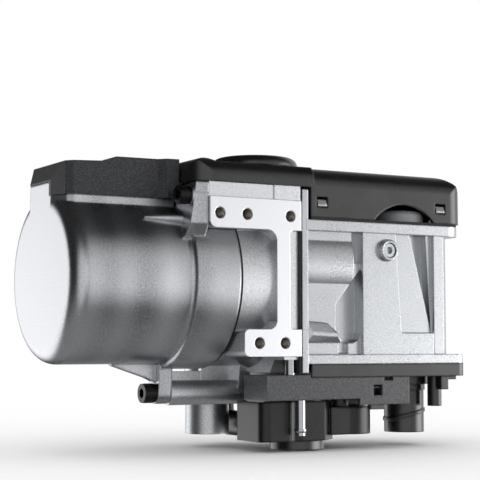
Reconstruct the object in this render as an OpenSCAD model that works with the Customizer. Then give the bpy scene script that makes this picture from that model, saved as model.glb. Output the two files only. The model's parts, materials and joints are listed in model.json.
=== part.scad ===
// Coolant parking heater with its bracket face, coolant pump and blower.
// Origin: middle of the outer two upper bracket holes, on the machined bracket face.
// X runs along the heat exchanger toward the blower, Y into the heater, Z up.

/* [Bracket face] */
// distance between the outer two upper holes
hole_span = 38; // [36:0.5:40]
// place of the third upper hole, from the middle of the row
mid_hole_x = -4.5; // [-6:0.5:2]
// distance between the two lower holes
low_span = 14; // [12:0.5:15]
// middle of the lower pair, along the heater
low_mid_x = 9; // [8:0.5:10]
// height between the upper row and the lower pair
row_drop = 60; // [58:0.5:61]
// bore of every bracket hole
mount_hole_d = 5.5; // [4.5:0.1:6]
// depth of every bracket hole
mount_hole_deep = 10; // [8:0.5:10.5]
// height of the upper bar above the row
bar_up = 7.6; // [7:0.1:8]
// height of the upper bar below the row
bar_down = 6.8; // [6:0.1:7.5]
// left end of the upper bar, from the origin
bar_left = 24.2; // [23:0.1:25]
// width of the upright between the bars
web_w = 7.2; // [6:0.1:8]

/* [Heat exchanger] */
// diameter of the shell
hx_d = 81; // [79:0.5:82]
// diameter of the joint ring
ring_d = 86; // [85:0.5:87]
// length of the shell from its joint
hx_len = 82.5; // [80:0.5:86]
// length of the joint ring
ring_len = 22.5; // [20:0.5:23]
// wall of the shell
hx_wall = 3; // [2.5:0.1:3.2]
// corner radius of the closed end
hx_round = 8; // [5:0.5:9]
// height of the exchanger axis below the upper hole row
axis_drop = 29.5; // [29:0.1:30]
// coolant gap between the finned pot and the shell
jacket = 3.5; // [3:0.1:4.5]
// number of fins in the pot
fin_count = 20; // [12:1:24]

/* [Burner] */
// thickness of the joint seal
seal_t = 1.5; // [1.2:0.1:1.8]
// length of the burner head
head_len = 31; // [30:0.5:32]
// diameter of the burner head
head_d = 83; // [82:0.5:84]
// thickness of the flange plate of the burner head
plate_t = 8; // [7:0.5:8.5]
// thickness of the gasket to the blower housing
gasket_t = 1.2; // [1:0.1:1.5]
// outer diameter of the combustion tube
tube_d = 48; // [46:0.5:48.4]
// outer diameter of the exhaust tube
exhaust_d = 22; // [20:0.5:22.5]
// reach of the exhaust tube below the upper hole row
exhaust_drop = 105.5; // [100:0.5:110]
// outer diameter of the fuel nipple
nipple_d = 5; // [4:0.1:5]

/* [Blower housing] */
// length of the top flange from the burner head gasket
housing_len = 97.5; // [96:0.5:98.5]
// depth of the top flange
housing_depth = 86; // [84:0.5:88]
// thickness of the flange against the gasket
side_flange_t = 3.3; // [3:0.1:3.5]
// corner radius of the flanges
flange_r = 10; // [8:0.5:11]
// motor and impeller axis, along the heater
blower_x = 86; // [85.5:0.1:86.2]
// motor and impeller axis, depth
blower_y = 40; // [39.5:0.1:40.5]
// diameter of the motor
motor_d = 40; // [38:0.5:41]
// diameter of the impeller
impeller_d = 53; // [50:0.5:53.5]
// number of impeller vanes
vane_count = 30; // [20:1:36]
// outer diameter of the air intake spigot
intake_d = 20.5; // [20:0.1:21]

/* [Lid] */
// wall of the lid and the sensor cover
lid_wall = 2; // [1.8:0.1:2.2]
// height of the lid top above the upper hole row
lid_top = 24.6; // [24:0.1:25]
// diameter of the round dome on the lid
dome_d = 42; // [38:0.5:42]
// height of the dome above the upper hole row
dome_top = 29.6; // [29:0.1:32]
// radius of the arch in the lid front
arch_r = 24; // [23:0.5:26]

/* [Coolant pump] */
// pump axis, along the heater
pump_x = 38; // [37:0.5:39]
// pump axis, depth
pump_y = 26; // [25.5:0.1:26.5]
// diameter of the pump impeller
pump_impeller_d = 25; // [22:0.5:25.5]
// number of blades of the pump impeller
pump_blades = 6; // [5:1:8]
// outer diameter of the coolant spigots
spigot_d = 20; // [18:0.5:20]
// diameter of the coolant link pipe
link_d = 13; // [12:0.5:13]

/* [Hidden] */
$fn = 64;
e = 0.01;
ring_r = ring_d / 2;
hx_r = hx_d / 2;
hx_in = hx_r - hx_wall;
ax_y = ring_r + 0.5;
ax_z = -axis_drop;
joint_x = -7.5;
hx_end = joint_x - hx_len;
ring_x0 = joint_x - ring_len;
head_x0 = joint_x + seal_t;
head_x1 = head_x0 + head_len;
plate_x0 = head_x1 - plate_t;
flange_x0 = head_x1 + gasket_t;
flange_x1 = flange_x0 + side_flange_t;
hous_x1 = flange_x0 + housing_len;
body_x1 = hous_x1 - 5.9;
body_back = housing_depth - 8;
base_back = housing_depth - 6.5;
lid_left = -32;
lid_step = 31.2;
lid_x1 = hous_x1 + 1.3;
lid_back = housing_depth + 0.6;
lug_x = -bar_left;
core_r = hx_in - jacket;
tube_r = tube_d / 2;
web_x0 = 11.6;
deck_z = 14.6;
wall_x = 8;
air_x = 12;
glow_z = ax_z + 9;
motor_r = motor_d / 2;
chamber_r = impeller_d / 2 + 1;
exhaust_x = 9.6;
exhaust_y = 66;
pump_r = pump_impeller_d / 2;
link_r = link_d / 2;
link_x = 30;
link_y = max(housing_depth, exhaust_y + 20) + 2;
link_z = -60;
in_x = 62;
in_z = -97;
out_x = -60;
out_z = 1;
out_y = 80;
feed_x = 22.2;
nip_x = 28;
nip_y = 6.3;
base_r = 5;
pump_back = 43;
link_low = -101.2;
screw_up = [6.2, 8];
screw_low = [44.5, -84];
screw_back = [79, 5];
pump_fix = [[58.2, 18, -102.1], [73, 37, -102.6]];
flange_fix = [[8, 10], [housing_depth - 6, 9], [18, -56], [housing_depth - 17, -56]];
base_fix = [[38, 9], [98, 8.5], [38, housing_depth - 11], [110, housing_depth - 16]];

module xcyl(r, x0, x1, y, z) {
  translate([x0, y, z]) rotate([0, 90, 0]) cylinder(r = r, h = x1 - x0);
}
module xcone(ra, rb, x0, x1, y, z) {
  translate([x0, y, z]) rotate([0, 90, 0]) cylinder(r1 = ra, r2 = rb, h = x1 - x0);
}
module ycyl(r, y0, y1, x, z) {
  translate([x, y1, z]) rotate([90, 0, 0]) cylinder(r = r, h = y1 - y0);
}
module zcyl(r, z0, z1, x, y) {
  translate([x, y, z0]) cylinder(r = r, h = z1 - z0);
}
module box(x0, x1, y0, y1, z0, z1) {
  translate([x0, y0, z0]) cube([x1 - x0, y1 - y0, z1 - z0]);
}
// the child outline is drawn in Y and Z
module along_x(x0, x1) {
  translate([x0, 0, 0]) rotate([90, 0, 90]) linear_extrude(x1 - x0) children();
}
// the child outline is drawn in X and Z
module along_y(y0, y1) {
  translate([0, y1, 0]) rotate([90, 0, 0]) linear_extrude(y1 - y0) children();
}
// the child outline is drawn in X and Y
module along_z(z0, z1) {
  translate([0, 0, z0]) linear_extrude(z1 - z0) children();
}
// the child outline is drawn as radius and X, about the exchanger axis
module about_axis() {
  translate([0, ax_y, ax_z]) rotate([0, 90, 0]) rotate_extrude() children();
}
// rectangle with its two right corners rounded
module right_round(x0, x1, y0, y1, r) {
  translate([x0, y0]) square([x1 - x0 - r, y1 - y0]);
  translate([x0, y0 + r]) square([x1 - x0, y1 - y0 - 2 * r]);
  for (y = [y0 + r, y1 - r]) translate([x1 - r, y]) circle(r);
}
// rectangle with its two left corners rounded
module left_round(x0, x1, y0, y1, r) {
  mirror([1, 0]) right_round(-x1, -x0, y0, y1, r);
}
// rectangle with its two upper corners rounded
module top_round(x0, x1, y0, y1, r) {
  translate([x0, y0]) square([x1 - x0, y1 - y0 - r]);
  translate([x0 + r, y0]) square([x1 - x0 - 2 * r, y1 - y0]);
  for (x = [x0 + r, x1 - r]) translate([x, y1 - r]) circle(r);
}
// inside corner at x, y filled with an arc that opens along the signs sx, sy
module fillet(x, y, sx, sy, r) {
  translate([x, y]) scale([sx, sy]) difference() {
    translate([-0.5, -0.5]) square(r + 0.5);
    translate([r, r]) circle(r + 0.06);
  }
}
module tube_z(ro, ri, z0, z1, x, y) {
  difference() {
    zcyl(ro, z0, z1, x, y);
    zcyl(ri, z0 - e, z1 + e, x, y);
  }
}
// socket screw with its head toward -X
module screw_x(hr, hh, r, len, x, y, z) {
  difference() {
    union() {
      xcyl(hr, x - hh, x, y, z);
      xcyl(r, x - e, x + len, y, z);
    }
    translate([x - hh - e, y, z]) rotate([0, 90, 0])
      cylinder(r = hr * 0.55, h = hh * 0.6, $fn = 6);
  }
}
// socket screw with its head toward -Z
module screw_z(hr, hh, r, len, x, y, z) {
  difference() {
    union() {
      zcyl(hr, z - hh, z, x, y);
      zcyl(r, z - e, z + len, x, y);
    }
    translate([x, y, z - hh - e]) cylinder(r = hr * 0.55, h = hh * 0.6, $fn = 6);
  }
}
// socket screw with its head toward -Y
module screw_y(hr, hh, r, len, x, y, z) {
  difference() {
    union() {
      ycyl(hr, y - hh, y, x, z);
      ycyl(r, y - e, y + len, x, z);
    }
    translate([x, y - hh * 0.4, z]) rotate([90, 0, 0])
      cylinder(r = hr * 0.55, h = hh * 0.6 + e, $fn = 6);
  }
}

// heat exchanger

module shell_inside() {
  about_axis() {
    translate([0, hx_end + hx_wall]) square([hx_in - 4, hx_len]);
    translate([0, hx_end + hx_wall + 4]) square([hx_in, hx_len]);
    translate([hx_in - 4, hx_end + hx_wall + 4]) circle(4);
    translate([0, joint_x - 4.5]) square([hx_r - 1.5, 6]);
  }
}
module heat_exchanger_shell() color([0.78, 0.79, 0.8]) difference() {
  union() {
    about_axis() {
      translate([0, hx_end]) square([hx_r - hx_round, hx_len]);
      translate([0, hx_end + hx_round]) square([hx_r, hx_len - hx_round]);
      translate([hx_r - hx_round, hx_end + hx_round]) circle(hx_round);
      translate([hx_r - 2, ring_x0]) square([ring_r - hx_r + 2, ring_len]);
      difference() {
        translate([hx_r - 1, ring_x0 - 2.5]) square([ring_r - hx_r + 1, 2.6]);
        translate([hx_r + 2.5, ring_x0 - 2.5]) circle(2.5);
      }
    }
    // raised pad under the sensor cover
    along_z(-8, 7.3) polygon([[hx_end, 32], [hx_end + 4, 22.4], [hx_end + 7, 20],
      [ring_x0 - 3, 20], [ring_x0 - 3, 62], [hx_end + 4.5, 62], [hx_end, 57.5]]);
    // upstand that closes the end of the sensor cover
    box(hx_end, hx_end + 2.5, 33.6, 57, 0, 13.4);
    // upper front lug
    intersection() {
      along_x(ring_x0 - 6, lug_x)
        polygon([[1.4, 14], [12, 14], [30, 9], [30, -8], [12, -14], [5, -11], [1.4, -5]]);
      along_y(0, 40) polygon([[ring_x0 - 0.8, 14], [lug_x, 14], [lug_x, -14], [ring_x0 - 5, -14]]);
    }
    xcyl(5, ring_x0 - 2.6, lug_x, screw_up[0], screw_up[1]);
    xcone(0.8, 3.4, ring_x0 - 22, ring_x0 - 1, 12.5, -2.6);
    // lower lug with its gusset
    along_x(ring_x0 - 1, lug_x) polygon([[screw_low[0] - 7, -66], [screw_low[0] - 5.2, screw_low[1]],
      [screw_low[0] + 5.2, screw_low[1]], [screw_low[0] + 7, -66]]);
    xcyl(5.2, ring_x0 - 1, lug_x, screw_low[0], screw_low[1]);
    along_y(screw_low[0] - 2, screw_low[0] + 2) polygon([[ring_x0 - 24, -66],
      [ring_x0 - 24, -70.6], [ring_x0 - 6, -76.6], [ring_x0 - 1, -79], [ring_x0 + 2, -66]]);
    // rear lug
    along_x(ring_x0 - 1, lug_x) polygon([[66, 0], [74, 9.2], [84, 5], [82, -8], [70, -16]]);
    xcyl(5.4, ring_x0 - 1, lug_x, screw_back[0], screw_back[1]);
    // coolant bosses on the back
    ycyl(10, 60, 78, -19, link_z);
    ycyl(13, 63, out_y, out_x, out_z);
    ycyl(4.8, 66, out_y, out_x + 16.5, out_z);
    ycyl(4.2, 66, out_y + 2, out_x + 16.5, out_z);
    along_y(66, out_y) polygon([[out_x, out_z + 6], [out_x + 16.5, out_z + 4.8],
      [out_x + 16.5, out_z - 4.8], [out_x, out_z - 6]]);
    // sensor bosses
    for (x = [-48, -70]) zcyl(7, 4, 13, x, 40);
  }
  shell_inside();
  xcyl(2.6, ring_x0 - 8, 0, screw_up[0], screw_up[1]);
  xcyl(2.6, ring_x0 - 8, 0, screw_low[0], screw_low[1]);
  xcyl(2.6, ring_x0 - 8, 0, screw_back[0], screw_back[1]);
  ycyl(link_r + 0.1, 70, 82, -19, link_z);
  ycyl(4.5, 60, 79, -19, link_z);
  ycyl(9.5, 68, out_y + 1, out_x, out_z);
  ycyl(7, 60, 78, out_x, out_z);
  ycyl(1.6, 72, 84, out_x + 16.5, out_z);
  for (x = [-48, -70]) zcyl(3.1, 2, 14, x, 40);
}
module heat_exchanger_core() color([0.74, 0.74, 0.73]) {
  difference() {
    about_axis() {
      translate([0, hx_end + 6]) square([core_r - 4, 10]);
      translate([0, hx_end + 10]) square([core_r, hx_len - 10]);
      translate([core_r - 4, hx_end + 10]) circle(4);
      translate([0, joint_x - 4.5]) square([hx_r - 1.55, 4.5]);
    }
    about_axis() {
      translate([0, hx_end + 8.5]) square([core_r - 5, 20]);
      translate([0, hx_end + 11]) square([core_r - 2.5, hx_len]);
    }
  }
  for (i = [0 : fin_count - 1])
    translate([0, ax_y, ax_z]) rotate([i * 360 / fin_count, 0, 0])
      translate([hx_end + 14, tube_r + 2.6, -0.8])
        cube([hx_len - 16, core_r - tube_r - 4.9, 1.6]);
}
module heat_exchanger_seal() color([0.06, 0.06, 0.06])
  about_axis() translate([35.5, joint_x]) square([ring_r - 36.3, seal_t]);
module lug_screws() color([0.08, 0.08, 0.08]) {
  screw_x(4.2, 5.5, 2.5, 22.6, ring_x0 - 2.6, screw_up[0], screw_up[1]);
  screw_x(4.6, 6.5, 2.5, 22, ring_x0 - 1, screw_low[0], screw_low[1]);
  screw_x(4.6, 6.5, 2.5, 22, ring_x0 - 1, screw_back[0], screw_back[1]);
}

// burner

module plate_outline(front, low) {
  back = housing_depth + 0.5;
  polygon([[front, 13.4], [back - 2.5, 13.4], [back, 8], [back, -42], [back - 12.5, -56],
    [back - 12.5, -74.2], [16, -74.2], [12, low], [front, low]]);
}
module flange_holes(r, x0, x1) {
  for (p = flange_fix) xcyl(r, x0, x1, p[0], p[1]);
}
module burner_head() color([0.8, 0.81, 0.82]) difference() {
  union() {
    xcyl(head_d / 2, head_x0, plate_x0 + 1, ax_y, ax_z);
    xcone(head_d / 2, head_d / 2 + 2, plate_x0 - 4, plate_x0 + 0.5, ax_y, ax_z);
    along_x(plate_x0, head_x1) plate_outline(3, -68);
    // deck under the lid, with its parting step
    box(lug_x, web_x0, 1.4, 24, bar_up - 1, deck_z);
    box(web_x0 - 1, head_x1, 0.9, 24, bar_up - 1, deck_z);
    // bracket face: upper bar, upright and lower bar
    along_y(0, 20) intersection() {
      left_round(lug_x, head_x1, -bar_down, bar_up + 4, 3.4);
      translate([lug_x, -bar_down]) square([head_x1 - lug_x, bar_down + bar_up]);
    }
    along_y(0, 20) left_round(head_x0, head_x1, -row_drop - 6.4, -row_drop + 6.4, 2.6);
    along_y(0, 12) {
      translate([web_x0, -row_drop]) square([web_w, row_drop]);
      fillet(web_x0, -bar_down, -1, -1, 5.5);
      fillet(web_x0 + web_w, -bar_down, 1, -1, 2.4);
      fillet(web_x0, -row_drop + 6.4, -1, 1, 4.5);
      fillet(web_x0 + web_w, -row_drop + 6.4, 1, 1, 2);
    }
    // long lower screw boss with its rib
    xcyl(6, lug_x, plate_x0 + 1, screw_low[0], screw_low[1]);
    box(lug_x, head_x0 + 1, screw_low[0] - 1, screw_low[0] + 1, -79, -73.6);
    box(head_x0, plate_x0 + 1, screw_low[0] - 1.5, screw_low[0] + 1.5, -79, -66);
    along_x(plate_x0 - 5, plate_x0 + 1) polygon([[screw_low[0] - 8, -70],
      [screw_low[0] - 5.6, screw_low[1]], [screw_low[0] + 5.6, screw_low[1]], [screw_low[0] + 8, -70]]);
    // rear screw boss
    xcyl(5.4, lug_x, plate_x0 + 1, screw_back[0], screw_back[1]);
    // exhaust boss
    zcyl(11.7, -76, -50, exhaust_x, exhaust_y);
  }
  // clearance over the joint ring
  xcyl(ring_r + 0.5, -40, head_x0, ax_y, ax_z);
  // exhaust side and air side of the burner
  xcyl(33, head_x0 - 1, wall_x, ax_y, ax_z);
  xcyl(32, air_x, head_x1 + 1, ax_y, ax_z);
  xcyl(tube_r + 0.3, head_x0, head_x1, ax_y, ax_z);
  zcyl(6.2, -77, -61, exhaust_x, exhaust_y);
  zcyl(9.6, -77, -69, exhaust_x, exhaust_y);
  intersection() {
    zcyl(6.2, -62, -45, exhaust_x, exhaust_y);
    box(head_x0, wall_x, 50, 80, -70, -40);
  }
  // bracket holes
  for (x = [-hole_span / 2, mid_hole_x, hole_span / 2])
    ycyl(mount_hole_d / 2, -1, mount_hole_deep, x, 0);
  for (x = [low_mid_x - low_span / 2, low_mid_x + low_span / 2])
    ycyl(mount_hole_d / 2, -1, mount_hole_deep, x, -row_drop);
  // screw holes
  xcyl(2.55, lug_x - 1, -8, screw_up[0], screw_up[1]);
  xcyl(2.55, lug_x - 1, -8, screw_low[0], screw_low[1]);
  xcyl(2.55, lug_x - 1, -8, screw_back[0], screw_back[1]);
  flange_holes(2.05, head_x1 - 7, head_x1 + 1);
  // fuel passage
  zcyl(nipple_d / 2 + 0.05, -69, -58, feed_x, nip_y);
  zcyl(1.2, -60, ax_z, feed_x, nip_y);
  ycyl(1.55, nip_y, 20, feed_x, ax_z);
}
module exhaust_tube() color([0.62, 0.63, 0.64]) difference() {
  union() {
    zcyl(exhaust_d / 2, -exhaust_drop, -76, exhaust_x, exhaust_y);
    zcyl(9.55, -76 - e, -69.2, exhaust_x, exhaust_y);
  }
  zcyl(8.2, -exhaust_drop - 1, -69, exhaust_x, exhaust_y);
}
module combustion_tube() color([0.55, 0.5, 0.45]) difference() {
  about_axis() {
    translate([0, hx_end + 20]) square([tube_r, air_x - hx_end - 20]);
    translate([0, air_x]) square([29, 1.5]);
  }
  about_axis() {
    translate([0, hx_end + 21.2]) square([tube_r - 1.2, 120]);
    translate([0, hx_end + 19]) square([15, 3]);
  }
}
module burner_insert() color([0.5, 0.47, 0.43]) difference() {
  about_axis() {
    translate([0, -14]) square([19, air_x + 17]);
    translate([0, air_x + 1.5]) square([29, 1.5]);
  }
  about_axis() {
    translate([0, -15]) square([17.8, 26.5]);
  }
  for (a = [0 : 30 : 330], x = [-2, 6])
    translate([x, ax_y, ax_z]) rotate([a, 0, 0]) ycyl(1.6, 12, 22, 0, 0);
  for (a = [15 : 30 : 345])
    translate([8, ax_y, ax_z]) rotate([a, 0, 0]) xcyl(1.4, 0, 10, 20.9, 0);
  xcyl(2.55, 8, 20, ax_y, glow_z);
  xcyl(1.55, 8, 20, ax_y, ax_z);
}
module evaporator_mat() color([0.4, 0.38, 0.35]) difference() {
  xcyl(17.7, 8.5, 11.5, ax_y, ax_z);
  xcyl(2.7, 8, 12, ax_y, glow_z);
  xcyl(1.7, 10, 12, ax_y, ax_z);
}
module glow_plug() color([0.7, 0.68, 0.6]) {
  xcyl(2.45, -9, 15, ax_y, glow_z);
  translate([15, ax_y, glow_z]) rotate([0, 90, 0]) cylinder(r = 4.6, h = 4, $fn = 6);
  xcyl(2, 19 - e, 23, ax_y, glow_z);
}
module fuel_feed_tube() color([0.7, 0.7, 0.7]) {
  ycyl(1.5, 8, ax_y, feed_x, ax_z);
  translate([feed_x, ax_y, ax_z]) sphere(1.5);
  xcyl(1.5, 11.6, feed_x, ax_y, ax_z);
}
module fuel_nipple() color([0.75, 0.76, 0.78]) {
  r = nipple_d / 2;
  zcyl(r, -78, -58.5, feed_x, nip_y);
  translate([feed_x, nip_y, -78]) sphere(r);
  xcyl(r, feed_x, nip_x, nip_y, -78);
  translate([nip_x, nip_y, -78]) sphere(r);
  difference() {
    union() {
      zcyl(r, -104, -78, nip_x, nip_y);
      translate([nip_x, nip_y, -102.6]) cylinder(r1 = r, r2 = r + 0.45, h = 0.8);
      zcyl(r + 0.45, -101.8, -100.8, nip_x, nip_y);
    }
    zcyl(r - 1, -105, -79, nip_x, nip_y);
  }
}
module blower_gasket() color([0.05, 0.05, 0.05]) difference() {
  along_x(head_x1, flange_x0) plate_outline(1.8, -74.2);
  xcyl(33, head_x1 - 1, flange_x0 + 1, ax_y, ax_z);
  flange_holes(2.3, head_x1 - 1, flange_x0 + 1);
}
module flange_screws() color([0.6, 0.61, 0.62]) {
  // flat heads above, taller ones below in the air duct
  for (i = [0 : 3]) {
    p = flange_fix[i];
    x0 = i < 2 ? flange_x1 : 33;
    h = i < 2 ? 1.5 : 3;
    difference() {
      union() {
        xcyl(3.6, x0, x0 + h, p[0], p[1]);
        xcyl(2, head_x1 - 6, x0 + e, p[0], p[1]);
      }
      translate([x0 + h * 0.4, p[0], p[1]]) rotate([0, 90, 0]) cylinder(r = 1.9, h = 3, $fn = 6);
    }
  }
}

// blower

module housing_solid() {
  along_x(flange_x0, flange_x1) plate_outline(1, -74.2);
  along_z(-66, -5) right_round(flange_x1 - 1, body_x1, 4, body_back, 8);
  along_z(-6, -1) right_round(flange_x1 - 1, hous_x1, 0.9, housing_depth, flange_r);
  along_z(-70, -65.6) right_round(flange_x1 - 1, hous_x1 + 0.8, 1.2, base_back, base_r);
  // bulge over the air duct
  intersection() {
    xcyl(24, flange_x1 - 1, 56.3, 25.6, -21);
    box(0, 60, 0, 20, -40, -5);
  }
  // raised main panel
  along_y(1.4, 6) polygon([[61.3, -5.5], [81, -5.5], [84.3, -55], [104.2, -55], [104.2, -66],
    [61.3, -66]]);
  // lens-shaped swell beside the flange
  along_y(1.8, 5) intersection() {
    translate([33, -66]) circle(16);
    translate([40, -39.5]) circle(20);
    translate([flange_x1 - 1, -66]) square(20);
  }
  // corner pillar
  box(104.8, 110.9, 1.9, 6, -66, -5.5);
  // ribs on the right side
  for (y = [16, 30, 44, 58]) box(body_x1 - 1.4, body_x1 + 1.2, y, y + 2, -66, -5.5);
  // ribs on the back
  for (x = [40, 56, 72, 88, 104]) box(x, x + 2, body_back - 1, body_back + 1, -66, -5.5);
  // screw boss on the front
  ycyl(5.4, -0.6, 4, 75.8, -14.4);
  ycyl(4.9, -1.2, 4, 75.8, -14.4);
  // catches for the lid
  for (x = [34.6, 105.6]) {
    box(x, x + 6, 3.4, 5, -2, 9.4);
    along_x(x + 0.4, x + 5.6) polygon([[3.5, 9.4], [1.3, 6], [3.5, 5.6]]);
  }
  // posts for the board
  for (p = [[38, 12], [113, 15], [38, housing_depth - 10], [108, housing_depth - 10]])
    zcyl(3, -2, 10, p[0], p[1]);
}
module blower_housing() color([0.82, 0.83, 0.84]) difference() {
  housing_solid();
  // groove, channel and column in the front
  box(56.3, 61.3, 0, 7, -21, -5.9);
  along_y(3, 9) polygon([[61.3, -24], [47, -41.5], [47, -55], [49, -58.6], [53, -60],
    [57, -60], [60, -58.4], [61.3, -55]]);
  box(48.6, 54, 3, 6.5, -65, -58);
  along_y(0, 9) polygon([[91.5, -6.1], [101.2, -6.1], [104.2, -54.8]]);
  // air duct
  box(33, 56, 12, body_back - 5, -62, -9);
  xcyl(30, flange_x0 - 1, 34, ax_y, ax_z);
  // motor bay with its sleeve
  difference() {
    box(62.5, body_x1 - 4, 12, body_back - 4, -50, -6);
    zcyl(motor_r + 2.4, -60, 0, blower_x, blower_y);
  }
  zcyl(motor_r + 0.15, -50, 0, blower_x, blower_y);
  zcyl(5, -60, -45, blower_x, blower_y);
  // impeller chamber and its outlet
  zcyl(chamber_r, -71, -54, blower_x, blower_y);
  box(50, 68, 27, 41, -68, -57);
  // screw holes
  ycyl(3.7, -2, 2, 75.8, -14.4);
  ycyl(2.05, -2, 13, 75.8, -14.4);
  flange_holes(2.2, flange_x0 - 1, 33.5);
  for (p = base_fix) zcyl(2.05, -71, -58, p[0], p[1]);
}
module front_screw() color([0.1, 0.1, 0.1]) screw_y(3.4, 2.6, 2, 9, 75.8, 2, -14.4);
module blower_motor_can() color([0.6, 0.6, 0.62]) difference() {
  union() {
    zcyl(motor_r, -50, -1.6, blower_x, blower_y);
    zcyl(8, -2, 4, blower_x, blower_y);
    zcyl(5.5, 3, 5.6, blower_x, blower_y);
  }
  zcyl(motor_r - 1.5, -51, -3.2, blower_x, blower_y);
  zcyl(4.5, -4, 2.5, blower_x, blower_y);
  zcyl(2.4, 0, 4.6, blower_x, blower_y);
}
module blower_magnets() color([0.2, 0.2, 0.21]) difference() {
  tube_z(motor_r - 1.55, motor_r - 5.6, -38, -6, blower_x, blower_y);
  box(blower_x - 3, blower_x + 3, 0, 90, -40, 0);
}
module brush_plate() color([0.12, 0.1, 0.08]) {
  tube_z(motor_r - 1.55, 4.5, -50, -46, blower_x, blower_y);
  for (x = [blower_x - 10, blower_x + 10])
    box(x - 3.4, x + 3.4, blower_y - 3, blower_y + 3, -46.1, -38.5);
}
module blower_bearings() color([0.7, 0.65, 0.5]) {
  tube_z(4.46, 2.03, -50, -46, blower_x, blower_y);
  tube_z(4.46, 2.03, -2, 2.5, blower_x, blower_y);
}
module blower_shaft() color([0.75, 0.75, 0.77]) zcyl(2, -68, 4.2, blower_x, blower_y);
module armature_core() color([0.35, 0.35, 0.37]) difference() {
  zcyl(motor_r - 6.4, -36, -8, blower_x, blower_y);
  zcyl(2, -37, -7, blower_x, blower_y);
  for (a = [0 : 45 : 315])
    translate([blower_x, blower_y, -37]) rotate([0, 0, a]) translate([6, -1.5, 0]) cube([4.6, 3, 30]);
  for (a = [0 : 45 : 315])
    translate([blower_x, blower_y, -37]) rotate([0, 0, a]) translate([10, -0.6, 0]) cube([6, 1.2, 30]);
}
module armature_windings() color([0.7, 0.4, 0.2]) {
  for (a = [0 : 45 : 315])
    translate([blower_x, blower_y, -37]) rotate([0, 0, a]) translate([6.2, -1.3, 0]) cube([4.2, 2.6, 30]);
  for (z = [-37.5, -8]) tube_z(11, 3, z, z + 1.5, blower_x, blower_y);
}
module commutator() color([0.72, 0.45, 0.25]) difference() {
  zcyl(6.2, -45, -38, blower_x, blower_y);
  zcyl(2, -46, -37, blower_x, blower_y);
  for (a = [0 : 45 : 315])
    translate([blower_x, blower_y, -46]) rotate([0, 0, a]) translate([5.4, -0.3, 0]) cube([3, 0.6, 9]);
}
module blower_impeller() color([0.16, 0.16, 0.17]) difference() {
  union() {
    zcyl(impeller_d / 2, -60.5, -58, blower_x, blower_y);
    zcyl(5, -66, -55, blower_x, blower_y);
    tube_z(17, 15.5, -69, -60, blower_x, blower_y);
    for (i = [0 : vane_count - 1])
      translate([blower_x, blower_y, -69]) rotate([0, 0, i * 360 / vane_count])
        translate([16, -0.6, 0]) cube([impeller_d / 2 - 16.4, 1.2, 9]);
  }
  zcyl(2, -70, -50, blower_x, blower_y);
}
module base_plate() color([0.07, 0.07, 0.08]) difference() {
  along_z(-76.5, -70) right_round(flange_x1 + 2.6, hous_x1 + 1.8, 2, base_back, base_r);
  difference() {
    tube_z(impeller_d / 2 - 0.5, 17, -73.5, -69, blower_x, blower_y);
    box(blower_x - 30, blower_x - 10, blower_y - 4, blower_y + 12, -75, -68);
  }
  zcyl(8, -77, -69, 106, 30);
  for (p = base_fix) {
    zcyl(2.2, -77, -69, p[0], p[1]);
    zcyl(3.9, -77, -73.4, p[0], p[1]);
  }
}
module base_screws() color([0.5, 0.5, 0.52])
  for (p = base_fix)
    screw_z(3.6, 2.6, 2, 14, p[0], p[1], -73.4);
module air_intake_spigot() color([0.07, 0.07, 0.08]) difference() {
  union() {
    zcyl(intake_d / 2, -105.5, -80, 106, 30);
    zcyl(12.6, -81, -76.5, 106, 30);
    zcyl(10.9, -84, -80, 106, 30);
    intersection() {
      translate([106, 30, -96.5]) rotate([0, -13, -20]) zcyl(16, -0.8, 0.8, 0, 0);
      zcyl(intake_d / 2 + 0.6, -104, -88, 106, 30);
    }
  }
  zcyl(8, -110, -70, 106, 30);
}
module vent_pipe() color([0.07, 0.07, 0.08]) tube_z(3.6, 2.4, -92, -76.5, 114.4, 15);
module cable_clip() color([0.07, 0.07, 0.08]) {
  box(111.6, 116, 5.5, 9, -83.4, -76.5);
  box(111.6, 121, 5.5, 9, -78.4, -76.5);
}

// lid and electronics

module deck_cover_plan(g, x1) left_round(lid_left + g, x1, 1 + g, lid_back - 4 - g, 12 - g);
module lid_form(g, z0) {
  // over the blower housing
  intersection() {
    along_z(z0, 40) right_round(lid_step + g, lid_x1 - g, 1 + g, lid_back - g, flange_r - g);
    along_y(0, 100) top_round(-60, lid_x1 - g, z0 - 1, lid_top - g, 17 - g);
    along_x(0, 130) top_round(1 + g, lid_back - g, z0 - 1, lid_top - g, 9 - g);
  }
  // over the deck of the burner head, with a roll at its left end
  intersection() {
    along_z(max(z0, deck_z), 40) deck_cover_plan(g, lid_step + lid_wall + g);
    along_y(0, 100) {
      translate([lid_left + 8, 18]) circle(8 - g);
      translate([lid_left + 8, 10]) square([70, lid_top - g - 10]);
      translate([lid_left + g, 10]) square([20, 8]);
    }
    along_x(-40, 50) top_round(1 + g, lid_back - 4 - g, 10, lid_top + 2 - g, 9 - g);
  }
}
module dome(g) {
  translate([13.5, 25, 0]) rotate_extrude() {
    translate([0, 16]) square([dome_d / 2 - 4, dome_top - 16 - g]);
    translate([0, 16]) square([dome_d / 2 - g, dome_top - 20]);
    translate([dome_d / 2 - 4, dome_top - 4]) circle(4 - g);
  }
}
module control_lid() color([0.06, 0.06, 0.07]) difference() {
  union() {
    lid_form(0, 0.4);
    dome(0);
  }
  lid_form(lid_wall, 0.3);
  dome(lid_wall);
  along_z(deck_z - 1, deck_z + 1) deck_cover_plan(lid_wall, lid_step);
  // arch in the front wall
  ycyl(arch_r, 0, 3.3, 86.5, 8.7 - arch_r);
  // snap windows
  for (x = [34.4, 105.4]) box(x, x + 6.4, 0, 3.3, 5.2, 10.2);
  // opening for the harness header
  box(47.6, 80.4, housing_depth - 6, housing_depth + 4, 2.6, 18.4);
}
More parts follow.
